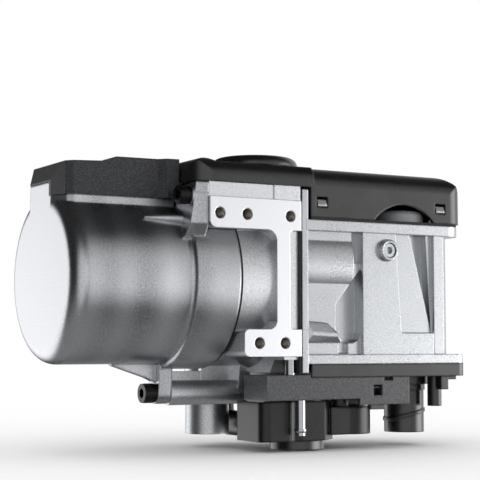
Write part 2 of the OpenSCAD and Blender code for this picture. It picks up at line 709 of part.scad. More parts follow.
module lid_seal() color([0.03, 0.03, 0.03]) difference() {
  along_z(-1, 0.4) right_round(31.4, hous_x1 - 0.1, 1.2, housing_depth - 0.2, flange_r - 0.4);
  along_z(-2, 1) right_round(33.2, hous_x1 - 1.9, 3.1, housing_depth - 2, flange_r - 2.2);
}
module cover_plan(g) {
  polygon([[hx_end + g, 32], [hx_end + 3 + g / 2, 21.5 + g], [hx_end + 6 + g / 2, 19 + g],
    [-42, 19 + g], [-38.5, 15.5 + g], [-32.4 - g, 15.5 + g], [-32.4 - g, 62 - g],
    [hx_end + 4.5, 62 - g], [hx_end + g, 57.5]]);
}
module cover_side(g) {
  polygon([[hx_end + 2.8 + g, 7.3 - g], [hx_end + 2.8 + g, 22.3 - g], [-70, 23 - g],
    [-63, 25.4 - g], [-32.4 - g, 25.6 - g], [-32.4 - g, 7.3 - g]]);
}
module sensor_cover() color([0.1, 0.1, 0.11]) difference() {
  intersection() {
    along_z(7.3, 30) cover_plan(0);
    along_y(0, 70) {
      cover_side(0);
      // lip over the upstand of the shell
      polygon([[hx_end, 13.7], [hx_end, 14.4], [hx_end + 2.9, 22.3], [hx_end + 4, 13.7]]);
    }
  }
  intersection() {
    along_z(7, 30) cover_plan(lid_wall);
    along_y(0, 70) cover_side(lid_wall);
  }
  xcyl(hx_r + 0.4, -100, -20, ax_y, ax_z);
}
module vent_cap() color([0.1, 0.1, 0.1]) translate([94, 17.5, 0]) rotate_extrude() {
  translate([0, -1]) square([9.8, 7.8]);
  translate([0, -1]) square([12.8, 4.8]);
  translate([9.8, 3.8]) circle(3);
}
module control_board() color([0.08, 0.3, 0.16]) difference() {
  box(34.6, hous_x1 - 7.7, 8, housing_depth - 5.6, 10, 11.6);
  box(100, hous_x1, 7, 9.5, 9, 12);
}
module board_parts() color([0.15, 0.15, 0.16]) {
  for (p = [[46, 20], [58, 20]]) zcyl(5, 11.6, 20.8, p[0], p[1]);
  box(72, 86, 16, 30, 11.6, 13.6);
  box(92, 104, 40, 58, 11.6, 20);
  box(44, 56, 40, 46, 11.6, 16);
  for (i = [0 : 4]) box(64 + i * 6, 67 + i * 6, 60, 66, 11.6, 13);
  for (i = [0 : 3]) box(70 + i * 5, 73 + i * 5, 38, 40, 11.6, 12.6);
}
module harness_header() color([0.09, 0.09, 0.1]) difference() {
  union() {
    box(48, 80, housing_depth - 14, housing_depth + 6, 11.6, 18);
    box(48, 80, housing_depth - 5.4, housing_depth + 6, 3, 18);
  }
  for (x = [49.6, 65])
    box(x, x + 13.4, housing_depth - 2, housing_depth + 7, 4.6, 16.4);
}
module sensor(x, h) {
  translate([x, 40, 13]) cylinder(r = 6, h = 3, $fn = 6);
  zcyl(4, 16 - e, 16 + h, x, 40);
  zcyl(3, ax_z + core_r + 0.5, 13.1, x, 40);
}
module temperature_sensor() color([0.7, 0.6, 0.35]) sensor(-48, 5);
module overheat_sensor() color([0.15, 0.15, 0.16]) sensor(-70, 3.6);

// coolant pump

module pump_bracket() color([0.06, 0.06, 0.07]) difference() {
  union() {
    box(6.6, 31, 1.6, 3.6, -87.2, -75.2);
    box(30, 59.4, 1.6, 3.6, -87, -76.5);
    box(59.2, 88.8, 1.6, 3.6, -90, -76.5);
    box(6.6, 8.6, 1.6, 23, -87.2, -75.2);
    box(86.8, 88.8, 1.6, 54, -90, -76.5);
    box(31.4, 88.8, 1.6, 58, -78.5, -76.5);
    box(66.6, 75, 3, 6, -92.4, -87);
    box(82, 86, 3, 30, -81, -78);
  }
  box(67.2, 72.4, 1, 4, -85.4, -80.4);
  box(73.6, 79, 1, 5, -78.2, -76);
  for (p = pump_fix) zcyl(2, -82, -76, p[0], p[1]);
}
module pump_body_plan() {
  polygon([[9, 14.3], [13.5, 9.8], [44.5, 9.8], [54, 18.2], [54, pump_back], [23.3, pump_back],
    [14, 34], [9, 34]]);
  translate([13.5, 14.3]) circle(4.5);
}
module pump_housing() color([0.12, 0.12, 0.13]) difference() {
  union() {
    along_z(-107, -88) pump_body_plan();
    along_z(-104.8, -91.3) right_round(50, 78, 13, 36, 12);
    box(50, 78, 29, pump_back, -105, -88);
    for (p = pump_fix) zcyl(4.6, p[2], -78.5, p[0], p[1]);
  }
  zcyl(pump_r + 1.4, -105, -96, pump_x, pump_y);
  zcyl(15.2, -97, -87, pump_x, pump_y);
  zcyl(11.6, -108, -104, pump_x, pump_y);
  // relief for the fuel hose
  zcyl(4.8, -108, -87, nip_x, nip_y);
  // outlet toward the link pipe
  ycyl(3.2, 26, 41, link_x, link_low);
  ycyl(4.1, 38.4, pump_back + 1, link_x, link_low);
  // inlet from the rear spigot to the bottom of the rotor
  ycyl(7, 31, pump_back + 1, in_x, in_z);
  ycyl(3, 25, 32, in_x, in_z - 2);
  xcyl(2.6, 46, in_x, 27, -101.6);
  for (p = pump_fix) {
    zcyl(2.1, -108, -78, p[0], p[1]);
    zcyl(3.7, -108, p[2], p[0], p[1]);
  }
}
module pump_can() color([0.5, 0.5, 0.52]) difference() {
  union() {
    zcyl(15.1, -97, -95.6, pump_x, pump_y);
    zcyl(9, -96, -80.4, pump_x, pump_y);
  }
  zcyl(8.3, -98, -82, pump_x, pump_y);
  zcyl(1.53, -83, -81.2, pump_x, pump_y);
}
module pump_stator() color([0.62, 0.38, 0.2]) difference() {
  tube_z(15, 9.1, -95.6, -82.5, pump_x, pump_y);
  for (a = [0 : 60 : 300])
    translate([pump_x, pump_y, -93]) rotate([0, 0, a]) translate([10.4, -2, 0]) cube([2.6, 4, 12]);
}
module pump_motor_cover() color([0.09, 0.09, 0.1]) difference() {
  zcyl(16, -88, -78.5, pump_x, pump_y);
  zcyl(15.1, -89, -80, pump_x, pump_y);
}
module pump_shaft() color([0.78, 0.78, 0.8]) zcyl(1.5, -106, -81.4, pump_x, pump_y);
module pump_rotor() color([0.2, 0.2, 0.22]) difference() {
  union() {
    zcyl(7.9, -94.8, -82.4, pump_x, pump_y);
    zcyl(4, -103.6, -94, pump_x, pump_y);
    zcyl(pump_r, -99.2, -97.8, pump_x, pump_y);
    for (i = [0 : pump_blades - 1])
      translate([pump_x, pump_y, -103.6]) rotate([0, 0, i * 360 / pump_blades])
        intersection() {
          translate([0, -7, 0]) tube_z(9.6, 8.4, 0, 4.6, 7, 0);
          translate([3, -14, 0]) cube([pump_r - 3.4, 14.4, 4.6]);
          zcyl(pump_r - 0.4, 0, 4.6, 0, 0);
        }
  }
  zcyl(1.5, -110, -80, pump_x, pump_y);
}
module pump_cap() color([0.08, 0.08, 0.09]) difference() {
  union() {
    zcyl(13.2, -111.6, -107, pump_x, pump_y);
    zcyl(11.5, -107 - e, -105, pump_x, pump_y);
  }
  zcyl(1.53, -106.4, -104, pump_x, pump_y);
  tube_z(11.6, 10.4, -106.6, -105.4, pump_x, pump_y);
}
module pump_seal() color([0.04, 0.04, 0.04]) tube_z(11.5, 10.45, -106.5, -105.5, pump_x, pump_y);
module pump_screws() color([0.5, 0.5, 0.52])
  for (p = pump_fix) screw_z(3.4, 2.4, 1.95, -76.7 - p[2], p[0], p[1], p[2]);
module spigot_y(y0, y1, x, z) {
  r = spigot_d / 2;
  ycyl(r, y0, y1, x, z);
  ycyl(r + 0.8, y1 - 4.5, y1 - 2.5, x, z);
}
module coolant_inlet_spigot() color([0.1, 0.1, 0.11]) difference() {
  union() {
    spigot_y(pump_back, pump_back + 27, in_x, in_z);
    ycyl(6.95, 36, pump_back + e, in_x, in_z);
    ycyl(spigot_d / 2 + 0.9, pump_back, pump_back + 3, in_x, in_z);
  }
  ycyl(5.6, 30, pump_back + 3, in_x, in_z);
  ycyl(spigot_d / 2 - 1.8, pump_back + 2, 90, in_x, in_z);
}
module coolant_outlet_spigot() color([0.1, 0.1, 0.11]) difference() {
  union() {
    spigot_y(out_y, out_y + 21, out_x, out_z);
    ycyl(9.45, 73.5, out_y + 0.1, out_x, out_z);
    ycyl(12, out_y, out_y + 2, out_x, out_z);
  }
  ycyl(7.6, 60, 110, out_x, out_z);
}
module outlet_retainer() color([0.6, 0.6, 0.62]) difference() {
  along_y(out_y + 2, out_y + 3.6) {
    translate([out_x, out_z]) circle(12.6);
    translate([out_x, out_z - 5]) square([16.5, 10]);
    translate([out_x + 16.5, out_z]) circle(5);
  }
  ycyl(spigot_d / 2 + 0.2, 78, 88, out_x, out_z);
  ycyl(1.8, 78, 88, out_x + 16.5, out_z);
}
module retainer_screw() color([0.55, 0.55, 0.57]) difference() {
  union() {
    ycyl(3.2, out_y + 3.6, out_y + 6, out_x + 16.5, out_z);
    ycyl(1.55, 73, out_y + 3.7, out_x + 16.5, out_z);
  }
  translate([out_x + 16.5, out_y + 6.1, out_z]) rotate([90, 0, 0]) cylinder(r = 1.8, h = 1.5, $fn = 6);
}
module bend(r) {
  rotate_extrude(angle = 90) translate([8, 0]) circle(r);
}
module link_path(r) {
  // from the exchanger boss back, along, down and forward to the pump
  ycyl(r, 70.5, link_y - 8, -19, link_z);
  translate([-11, link_y - 8, link_z]) rotate([0, 0, 90]) bend(r);
  xcyl(r, -11, link_x - 8, link_y, link_z);
  translate([link_x - 8, link_y, link_z - 8]) rotate([90, 0, 0]) bend(r);
  zcyl(r, link_low + 8, link_z - 8, link_x, link_y);
  translate([link_x, link_y - 8, link_low + 8]) rotate([0, 90, 0]) bend(r);
  ycyl(r, pump_back, link_y - 8, link_x, link_low);
}
module coolant_link_pipe() color([0.09, 0.09, 0.1]) difference() {
  union() {
    link_path(link_r);
    ycyl(4, 38.6, pump_back + e, link_x, link_low);
  }
  ycyl(link_r - 2, 60, 80, -19, link_z);
  ycyl(2.4, 30, 60, link_x, link_low);
  link_grooves(0.05);
}
// ring grooves in both pipe ends
module link_grooves(c) {
  for (p = [[-19, link_z, 73, link_r], [link_x, link_low, 40, 4]])
    difference() {
      ycyl(p[3] + 0.05, p[2] - c, p[2] + 1.5 + c, p[0], p[1]);
      ycyl(p[3] - 1 - c, p[2] - 1, p[2] + 3, p[0], p[1]);
    }
}
module link_seals() color([0.04, 0.04, 0.04]) link_grooves(0);

heat_exchanger_shell();
heat_exchanger_core();
heat_exchanger_seal();
lug_screws();
burner_head();
exhaust_tube();
combustion_tube();
burner_insert();
evaporator_mat();
glow_plug();
fuel_feed_tube();
fuel_nipple();
blower_gasket();
flange_screws();
blower_housing();
front_screw();
blower_motor_can();
blower_magnets();
brush_plate();
blower_bearings();
blower_shaft();
armature_core();
armature_windings();
commutator();
blower_impeller();
base_plate();
base_screws();
air_intake_spigot();
vent_pipe();
cable_clip();
lid_seal();
control_lid();
sensor_cover();
vent_cap();
control_board();
board_parts();
harness_header();
temperature_sensor();
overheat_sensor();
pump_bracket();
pump_housing();
pump_can();
pump_stator();
pump_motor_cover();
pump_shaft();
pump_rotor();
pump_cap();
pump_seal();
pump_screws();
coolant_inlet_spigot();
coolant_outlet_spigot();
outlet_retainer();
retainer_screw();
coolant_link_pipe();
link_seals();
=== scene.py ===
"""Looks of a coolant parking heater: finishes, small trim pieces, soft studio light and the camera.

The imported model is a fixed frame. Nothing of it is moved. Each of its pieces gets a finish here.
Added on top are the trim that is too fine for the model, such as knurls, threads, contact pins and
solder, and four small forms of the castings and covers.
"""

import json
import logging
import math
from dataclasses import dataclass
from enum import Enum
from typing import Iterable, Iterator

import bmesh
import bpy
from mathutils import Matrix, Vector


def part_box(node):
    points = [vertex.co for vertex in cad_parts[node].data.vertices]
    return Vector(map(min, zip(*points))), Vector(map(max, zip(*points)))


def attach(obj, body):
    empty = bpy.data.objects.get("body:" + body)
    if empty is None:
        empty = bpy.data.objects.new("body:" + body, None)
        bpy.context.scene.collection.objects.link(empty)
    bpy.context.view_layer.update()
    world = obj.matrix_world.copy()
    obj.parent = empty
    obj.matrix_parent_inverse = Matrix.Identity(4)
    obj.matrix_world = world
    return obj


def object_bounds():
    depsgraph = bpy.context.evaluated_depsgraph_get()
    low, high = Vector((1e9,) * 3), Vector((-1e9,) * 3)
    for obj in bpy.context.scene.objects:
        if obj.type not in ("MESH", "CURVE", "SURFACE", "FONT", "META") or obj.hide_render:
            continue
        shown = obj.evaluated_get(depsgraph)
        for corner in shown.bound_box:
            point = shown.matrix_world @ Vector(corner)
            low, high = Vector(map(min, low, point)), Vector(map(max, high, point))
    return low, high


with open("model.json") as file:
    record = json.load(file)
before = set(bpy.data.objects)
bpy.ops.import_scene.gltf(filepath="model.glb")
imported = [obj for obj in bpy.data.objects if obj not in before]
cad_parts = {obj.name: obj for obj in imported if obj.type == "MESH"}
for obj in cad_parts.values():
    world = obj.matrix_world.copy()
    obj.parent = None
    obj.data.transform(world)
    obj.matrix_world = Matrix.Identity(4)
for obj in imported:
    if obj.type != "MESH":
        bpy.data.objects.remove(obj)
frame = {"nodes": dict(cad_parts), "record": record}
CAD_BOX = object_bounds()

LOG = logging.getLogger("heater")
MM = 0.001
HEATER = "heater"


def linear_colour(code: str) -> tuple[float, float, float, float]:
    """Turns an sRGB hex colour into the linear values that a shader takes.

    Args:
        code: six hex digits with a leading number sign.

    Returns:
        Red, green, blue and an alpha of one, all linear.
    """
    channels = [int(code[i:i + 2], 16) / 255 for i in (1, 3, 5)]
    linear = [c / 12.92 if c <= 0.04045 else ((c + 0.055) / 1.055) ** 2.4 for c in channels]
    return (linear[0], linear[1], linear[2], 1.0)


def add_node(
    tree: bpy.types.NodeTree,
    kind: str,
    values: dict[str | int, object] | None = None,
    links: dict[str | int, bpy.types.NodeSocket] | None = None,
    **settings: object,
) -> bpy.types.Node:
    """Adds one node to a tree, with its settings, socket values and incoming links.

    Args:
        tree: the node tree of a material or the world.
        kind: the node's type name.
        values: numbers or colours for input sockets, by socket name or number.
        links: output sockets to join to input sockets, by socket name or number.
        **settings: properties of the node itself.

    Returns:
        The new node.
    """
    node = tree.nodes.new(kind)
    for name, value in settings.items():
        setattr(node, name, value)
    for socket, value in (values or {}).items():
        node.inputs[socket].default_value = value
    for socket, source in (links or {}).items():
        tree.links.new(source, node.inputs[socket])
    return node


class Surface(Enum):
    """How a surface was made, which decides the pattern that it carries."""

    BLASTED = "shot blasted casting"
    MACHINED = "casting with a milled mounting face"
    MOULDED = "moulded plastic with a fine grain"
    # The raised points of this grain are painted lighter: painted glints, not a colour of the
    # plastic.
    GRAIN_WITH_PAINTED_GLINTS = "moulded plastic with a coarse eroded grain"
    TURNED = "turned or drawn round metal"
    ROLLED = "rolled sheet metal"
    FIBRE = "pressed fibre or powder"
    WOUND = "wound wire"
    PRINTED = "printed circuit board"


# Weight of each finer layer of a noise against the one before it.
FINER_LAYERS = 0.6
# Nearly all values of a noise lie between these two.
NOISE_LOW, NOISE_HIGH = 0.3, 0.7
# Soft bands round a drawn-out casting are this many times as long as they are wide.
BAND_LENGTH = 12
# Broad patches of gloss on castings and on plastics, in grains: 12 to 36 mm.
CASTING_PATCH, PLASTIC_PATCH = 40, 60
# A face less than this behind the milled plane is milled too, in millimetres.
MILLED_SKIN_MM = 0.04
# Middle of the milling arcs, in metres: low and to the left of the bracket face.
MILL_CENTRE = Vector((-0.11, 0.0, -0.05))
# The arcs come every 4.4 mm, so one stands for many feed marks, which are too fine to show.
MILL_ARC_GRAINS = 20
# Depth and roughness of a milled face, as shares of those of the blasted one.
MILLED_DEPTH, MILLED_ROUGHNESS = 0.12, 0.72
# A turned line changes along its length 40 times in a metre, so every 25 mm.
TURNED_CHANGES = 40.0
# A rolled streak changes 60 times in a metre, so every 17 mm.
ROLLED_CHANGES = 60.0
# Scale of the wave that draws wound wire: each turn shows two grains wide.
WIRE_GRAINS = 6.3
# Length and spacing of the copper tracks, each one grain wide.
TRACK_LENGTH, TRACK_SPACING = 16, 5


@dataclass(frozen=True)
class Ground:
    """What the pattern of one material is drawn on.

    Attributes:
        tree: the material's node tree.
        shader: its surface shader.
        place: each point's place in the row frame, in metres.
        edge: the direction of the surface, with its edges softened.
    """

    tree: bpy.types.NodeTree
    shader: bpy.types.Node
    place: bpy.types.NodeSocket
    edge: bpy.types.NodeSocket


@dataclass(frozen=True)
class Finish:
    """One finish: what the material is, how it was made and what that gives the eye.

    Attributes:
        name: the material's name.
        surface: how the surface was made.
        colour: its colour, sRGB hex.
        second: colour of its pattern, sRGB hex.
        roughness: roughness of the shader, typical for the material, matched to the object.
        metallic: one for a bare metal.
        ior: index of refraction of a plastic; a metal keeps the default.
        grain_mm: size of the pattern in millimetres.
        relief_mm: height of the pattern in millimetres.
        edge_mm: radius that the eye sees on the edges, in millimetres.
        band_mm: width of the soft bands round a drawn-out casting, in millimetres.
        face_mm: plane of the milled face along Y, in millimetres, on a machined casting.
    """

    name: str
    surface: Surface
    colour: str
    second: str
    roughness: float
    metallic: float = 0.0
    ior: float = 1.5
    grain_mm: float = 0.5
    relief_mm: float = 0.02
    edge_mm: float = 0.3
    band_mm: float = 0.0
    face_mm: float = 0.0

    @property
    def grains(self) -> float:
        """Number of grains in a metre."""
        return 1 / (self.grain_mm * MM)

    def build(self) -> bpy.types.Material:
        """Makes the material.

        Returns:
            The new material, with its nodes in place.
        """
        material = bpy.data.materials.new(self.name)
        material.use_nodes = True
        material.diffuse_color = linear_colour(self.colour)
        tree = material.node_tree
        shader = tree.nodes["Principled BSDF"]
        shader.inputs["Base Color"].default_value = linear_colour(self.colour)
        shader.inputs["Roughness"].default_value = self.roughness
        shader.inputs["Metallic"].default_value = self.metallic
        shader.inputs["IOR"].default_value = self.ior
        place = add_node(tree, "ShaderNodeTexCoord").outputs["Object"]
        edge = add_node(
            tree, "ShaderNodeBevel", values={"Radius": self.edge_mm * MM}, samples=4
        ).outputs["Normal"]
        patterns = {
            Surface.BLASTED: self._blasted,
            Surface.MACHINED: self._machined,
            Surface.MOULDED: self._moulded,
            Surface.GRAIN_WITH_PAINTED_GLINTS: self._grain_with_painted_glints,
            Surface.TURNED: self._turned,
            Surface.ROLLED: self._rolled,
            Surface.FIBRE: self._fibre,
            Surface.WOUND: self._wound,
            Surface.PRINTED: self._printed,
        }
        patterns[self.surface](Ground(tree, shader, place, edge))
        return material

    def _streaks(
        self, ground: Ground, changes: tuple[float, float, float], detail: float
    ) -> bpy.types.NodeSocket:
        """Adds a noise that is drawn out along an axis.

        Args:
            ground: what the pattern is drawn on.
            changes: how often it changes in a metre, along each axis.
            detail: number of finer layers on top.

        Returns:
            The noise's value.
        """
        drawn_out = add_node(
            ground.tree,
            "ShaderNodeMapping",
            values={"Scale": changes},
            links={"Vector": ground.place},
        ).outputs["Vector"]
        return add_node(
            ground.tree,
            "ShaderNodeTexNoise",
            values={"Scale": 1.0, "Detail": detail},
            links={"Vector": drawn_out},
        ).outputs["Fac"]

    def _relief(self, ground: Ground, height: bpy.types.NodeSocket) -> None:
        """Raises the surface by a height pattern, over the softened edges.

        Args:
            ground: what the pattern is drawn on.
            height: the pattern, from zero to one.
        """
        bump = add_node(
            ground.tree,
            "ShaderNodeBump",
            values={"Strength": 1.0, "Distance": self.relief_mm * MM},
            links={"Height": height, "Normal": ground.edge},
        )
        ground.tree.links.new(bump.outputs["Normal"], ground.shader.inputs["Normal"])

    def _tint(
        self, ground: Ground, amount: bpy.types.NodeSocket, low: float, high: float
    ) -> None:
        """Blends the two colours of the finish by a pattern.

        Args:
            ground: what the pattern is drawn on.
            amount: the pattern.
            low: its value where the first colour ends.
            high: its value where the second colour is full.
        """
        ramp = add_node(ground.tree, "ShaderNodeValToRGB", links={"Fac": amount})
        first, second = ramp.color_ramp.elements
        first.position = low
        first.color = linear_colour(self.colour)
        second.position = high
        second.color = linear_colour(self.second)
        ground.tree.links.new(ramp.outputs["Color"], ground.shader.inputs["Base Color"])

    def _shine(self, ground: Ground, amount: bpy.types.NodeSocket, spread: float) -> None:
        """Lets a noise change the roughness.

        Args:
            ground: what the pattern is drawn on.
            amount: the noise.
            spread: how far the roughness goes up and down.
        """
        vary = add_node(
            ground.tree,
            "ShaderNodeMapRange",
            values={
                "From Min": NOISE_LOW,
                "From Max": NOISE_HIGH,
                "To Min": self.roughness - spread,
                "To Max": self.roughness + spread,
            },
            links={"Value": amount},
        )
        ground.tree.links.new(vary.outputs["Result"], ground.shader.inputs["Roughness"])

    def _blasted(self, ground: Ground) -> None:
        """A blasted casting: fine pits and bright peaks, with broad faint changes of gloss.

        Args:
            ground: what the pattern is drawn on.
        """
        pits = add_node(
            ground.tree,
            "ShaderNodeTexNoise",
            values={"Scale": self.grains, "Detail": 3.0, "Roughness": FINER_LAYERS},
            links={"Vector": ground.place},
        ).outputs["Fac"]
        if self.band_mm:
            across = 1 / (self.band_mm * MM)
            along = across / BAND_LENGTH
            bands = self._streaks(ground, (across, along, along), detail=0.0)
            mixed = add_node(
                ground.tree,
                "ShaderNodeMix",
                values={"Factor": 0.5},
                links={"A": pits, "B": bands},
            ).outputs["Result"]
            self._tint(ground, mixed, low=NOISE_LOW, high=NOISE_HIGH)
            self._shine(ground, bands, spread=0.06)
        else:
            patches = add_node(
                ground.tree,
                "ShaderNodeTexNoise",
                values={
                    "Scale": 1 / (self.grain_mm * CASTING_PATCH * MM),
                    "Detail": 2.0,
                    "Roughness": FINER_LAYERS,
                },
                links={"Vector": ground.place},
            ).outputs["Fac"]
            self._tint(ground, pits, low=0.32, high=0.68)
            self._shine(ground, patches, spread=0.03)
        self._relief(ground, pits)

    def _machined(self, ground: Ground) -> None:
        """A blasted casting whose faces on one plane are milled bright, with faint arcs.

        Args:
            ground: what the pattern is drawn on.
        """
        tree = ground.tree
        pits = add_node(
            tree,
            "ShaderNodeTexNoise",
            values={"Scale": self.grains, "Detail": 3.0, "Roughness": FINER_LAYERS},
            links={"Vector": ground.place},
        ).outputs["Fac"]
        axes = add_node(tree, "ShaderNodeSeparateXYZ", links={"Vector": ground.place})
        milled = add_node(
            tree,
            "ShaderNodeMath",
            operation="LESS_THAN",
            values={1: (self.face_mm + MILLED_SKIN_MM) * MM},
            links={0: axes.outputs["Y"]},
        ).outputs["Value"]
        from_centre = add_node(
            tree,
            "ShaderNodeMapping",
            values={"Location": -MILL_CENTRE},
            links={"Vector": ground.place},
        ).outputs["Vector"]
        arcs = add_node(
            tree,
            "ShaderNodeTexWave",
            wave_type="RINGS",
            rings_direction="Y",
            values={
                "Scale": 1 / (self.grain_mm * MILL_ARC_GRAINS * MM),
                "Distortion": 0.6,
                "Detail": 1.0,
            },
            links={"Vector": from_centre},
        ).outputs["Fac"]
        shallow = add_node(
            tree, "ShaderNodeMath", operation="MULTIPLY", values={1: MILLED_DEPTH}, links={0: arcs}
        ).outputs["Value"]
        height = add_node(
            tree, "ShaderNodeMix", links={"Factor": milled, "A": pits, "B": shallow}
        ).outputs["Result"]
        rough = add_node(
            tree,
            "ShaderNodeMapRange",
            values={"To Min": self.roughness, "To Max": self.roughness * MILLED_ROUGHNESS},
            links={"Value": milled},
        ).outputs["Result"]
        tree.links.new(rough, ground.shader.inputs["Roughness"])
        bright = add_node(
            tree, "ShaderNodeMath", operation="MAXIMUM", links={0: milled, 1: pits}
        ).outputs["Value"]
        self._tint(ground, bright, low=0.32, high=0.9)
        self._relief(ground, height)

    def _moulded(self, ground: Ground) -> None:
        """A moulded plastic or rubber: an even fine grain and a slight change of gloss.

        Args:
            ground: what the pattern is drawn on.
        """
        grain = add_node(
            ground.tree,
            "ShaderNodeTexNoise",
            values={"Scale": self.grains, "Detail": 2.0, "Roughness": FINER_LAYERS},
            links={"Vector": ground.place},
        ).outputs["Fac"]
        patches = add_node(
            ground.tree,
            "ShaderNodeTexNoise",
            values={
                "Scale": 1 / (self.grain_mm * PLASTIC_PATCH * MM),
                "Detail": 2.0,
                "Roughness": FINER_LAYERS,
            },
            links={"Vector": ground.place},
        ).outputs["Fac"]
        self._tint(ground, patches, low=0.35, high=0.75)
        self._shine(ground, patches, spread=0.04)
        self._relief(ground, grain)

    def _grain_with_painted_glints(self, ground: Ground) -> None:
        """A plastic with a coarse grain, whose raised points are painted lighter as painted glints.

        Args:
            ground: what the pattern is drawn on.
        """
        points = add_node(
            ground.tree,
            "ShaderNodeTexNoise",
            values={"Scale": self.grains, "Detail": 4.0, "Roughness": FINER_LAYERS},
            links={"Vector": ground.place},
        ).outputs["Fac"]
        # Painted glints: the raised points of the grain take the lighter second colour.
        self._tint(ground, points, low=0.45, high=0.72)
        self._shine(ground, points, spread=0.08)
        self._relief(ground, points)

    def _turned(self, ground: Ground) -> None:
        """Turned or drawn metal: fine lines round a piece that stands, or along one that lies.

        Args:
            ground: what the pattern is drawn on.
        """
        changes = (TURNED_CHANGES, TURNED_CHANGES, self.grains)
        lines = self._streaks(ground, changes, detail=2.0)
        self._tint(ground, lines, low=0.3, high=0.8)
        self._shine(ground, lines, spread=0.06)
        self._relief(ground, lines)

    def _rolled(self, ground: Ground) -> None:
        """Sheet metal: faint long streaks of the rolls, along X.

        Args:
            ground: what the pattern is drawn on.
        """
        across = self.grains
        streaks = self._streaks(ground, (ROLLED_CHANGES, across, across), detail=3.0)
        self._tint(ground, streaks, low=0.3, high=0.8)
        self._shine(ground, streaks, spread=0.07)
        self._relief(ground, streaks)

    def _fibre(self, ground: Ground) -> None:
        """Pressed fibre, graphite or ferrite: a matt felted ground.

        Args:
            ground: what the pattern is drawn on.
        """
        felt = add_node(
            ground.tree,
            "ShaderNodeTexVoronoi",
            feature="F2",
            values={"Scale": self.grains},
            links={"Vector": ground.place},
        ).outputs["Distance"]
        self._tint(ground, felt, low=0.2, high=0.9)
        self._relief(ground, felt)

    def _wound(self, ground: Ground) -> None:
        """Wound enamelled wire: turns side by side.

        Args:
            ground: what the pattern is drawn on.
        """
        turns = add_node(
            ground.tree,
            "ShaderNodeTexWave",
            bands_direction="Z",
            values={"Scale": 1 / (self.grain_mm * WIRE_GRAINS * MM), "Distortion": 0.5},
            links={"Vector": ground.place},
        ).outputs["Fac"]
        self._tint(ground, turns, low=0.1, high=0.9)
        self._relief(ground, turns)

    def _printed(self, ground: Ground) -> None:
        """A circuit board: green lacquer with the copper tracks showing lighter.

        Args:
            ground: what the pattern is drawn on.
        """
        tracks = add_node(
            ground.tree,
            "ShaderNodeTexBrick",
            values={
                "Scale": 1.0,
                "Mortar Size": self.grain_mm * MM,
                "Brick Width": self.grain_mm * TRACK_LENGTH * MM,
                "Row Height": self.grain_mm * TRACK_SPACING * MM,
            },
            links={"Vector": ground.place},
        ).outputs["Fac"]
        self._tint(ground, tracks, low=0.0, high=1.0)
        self._relief(ground, tracks)
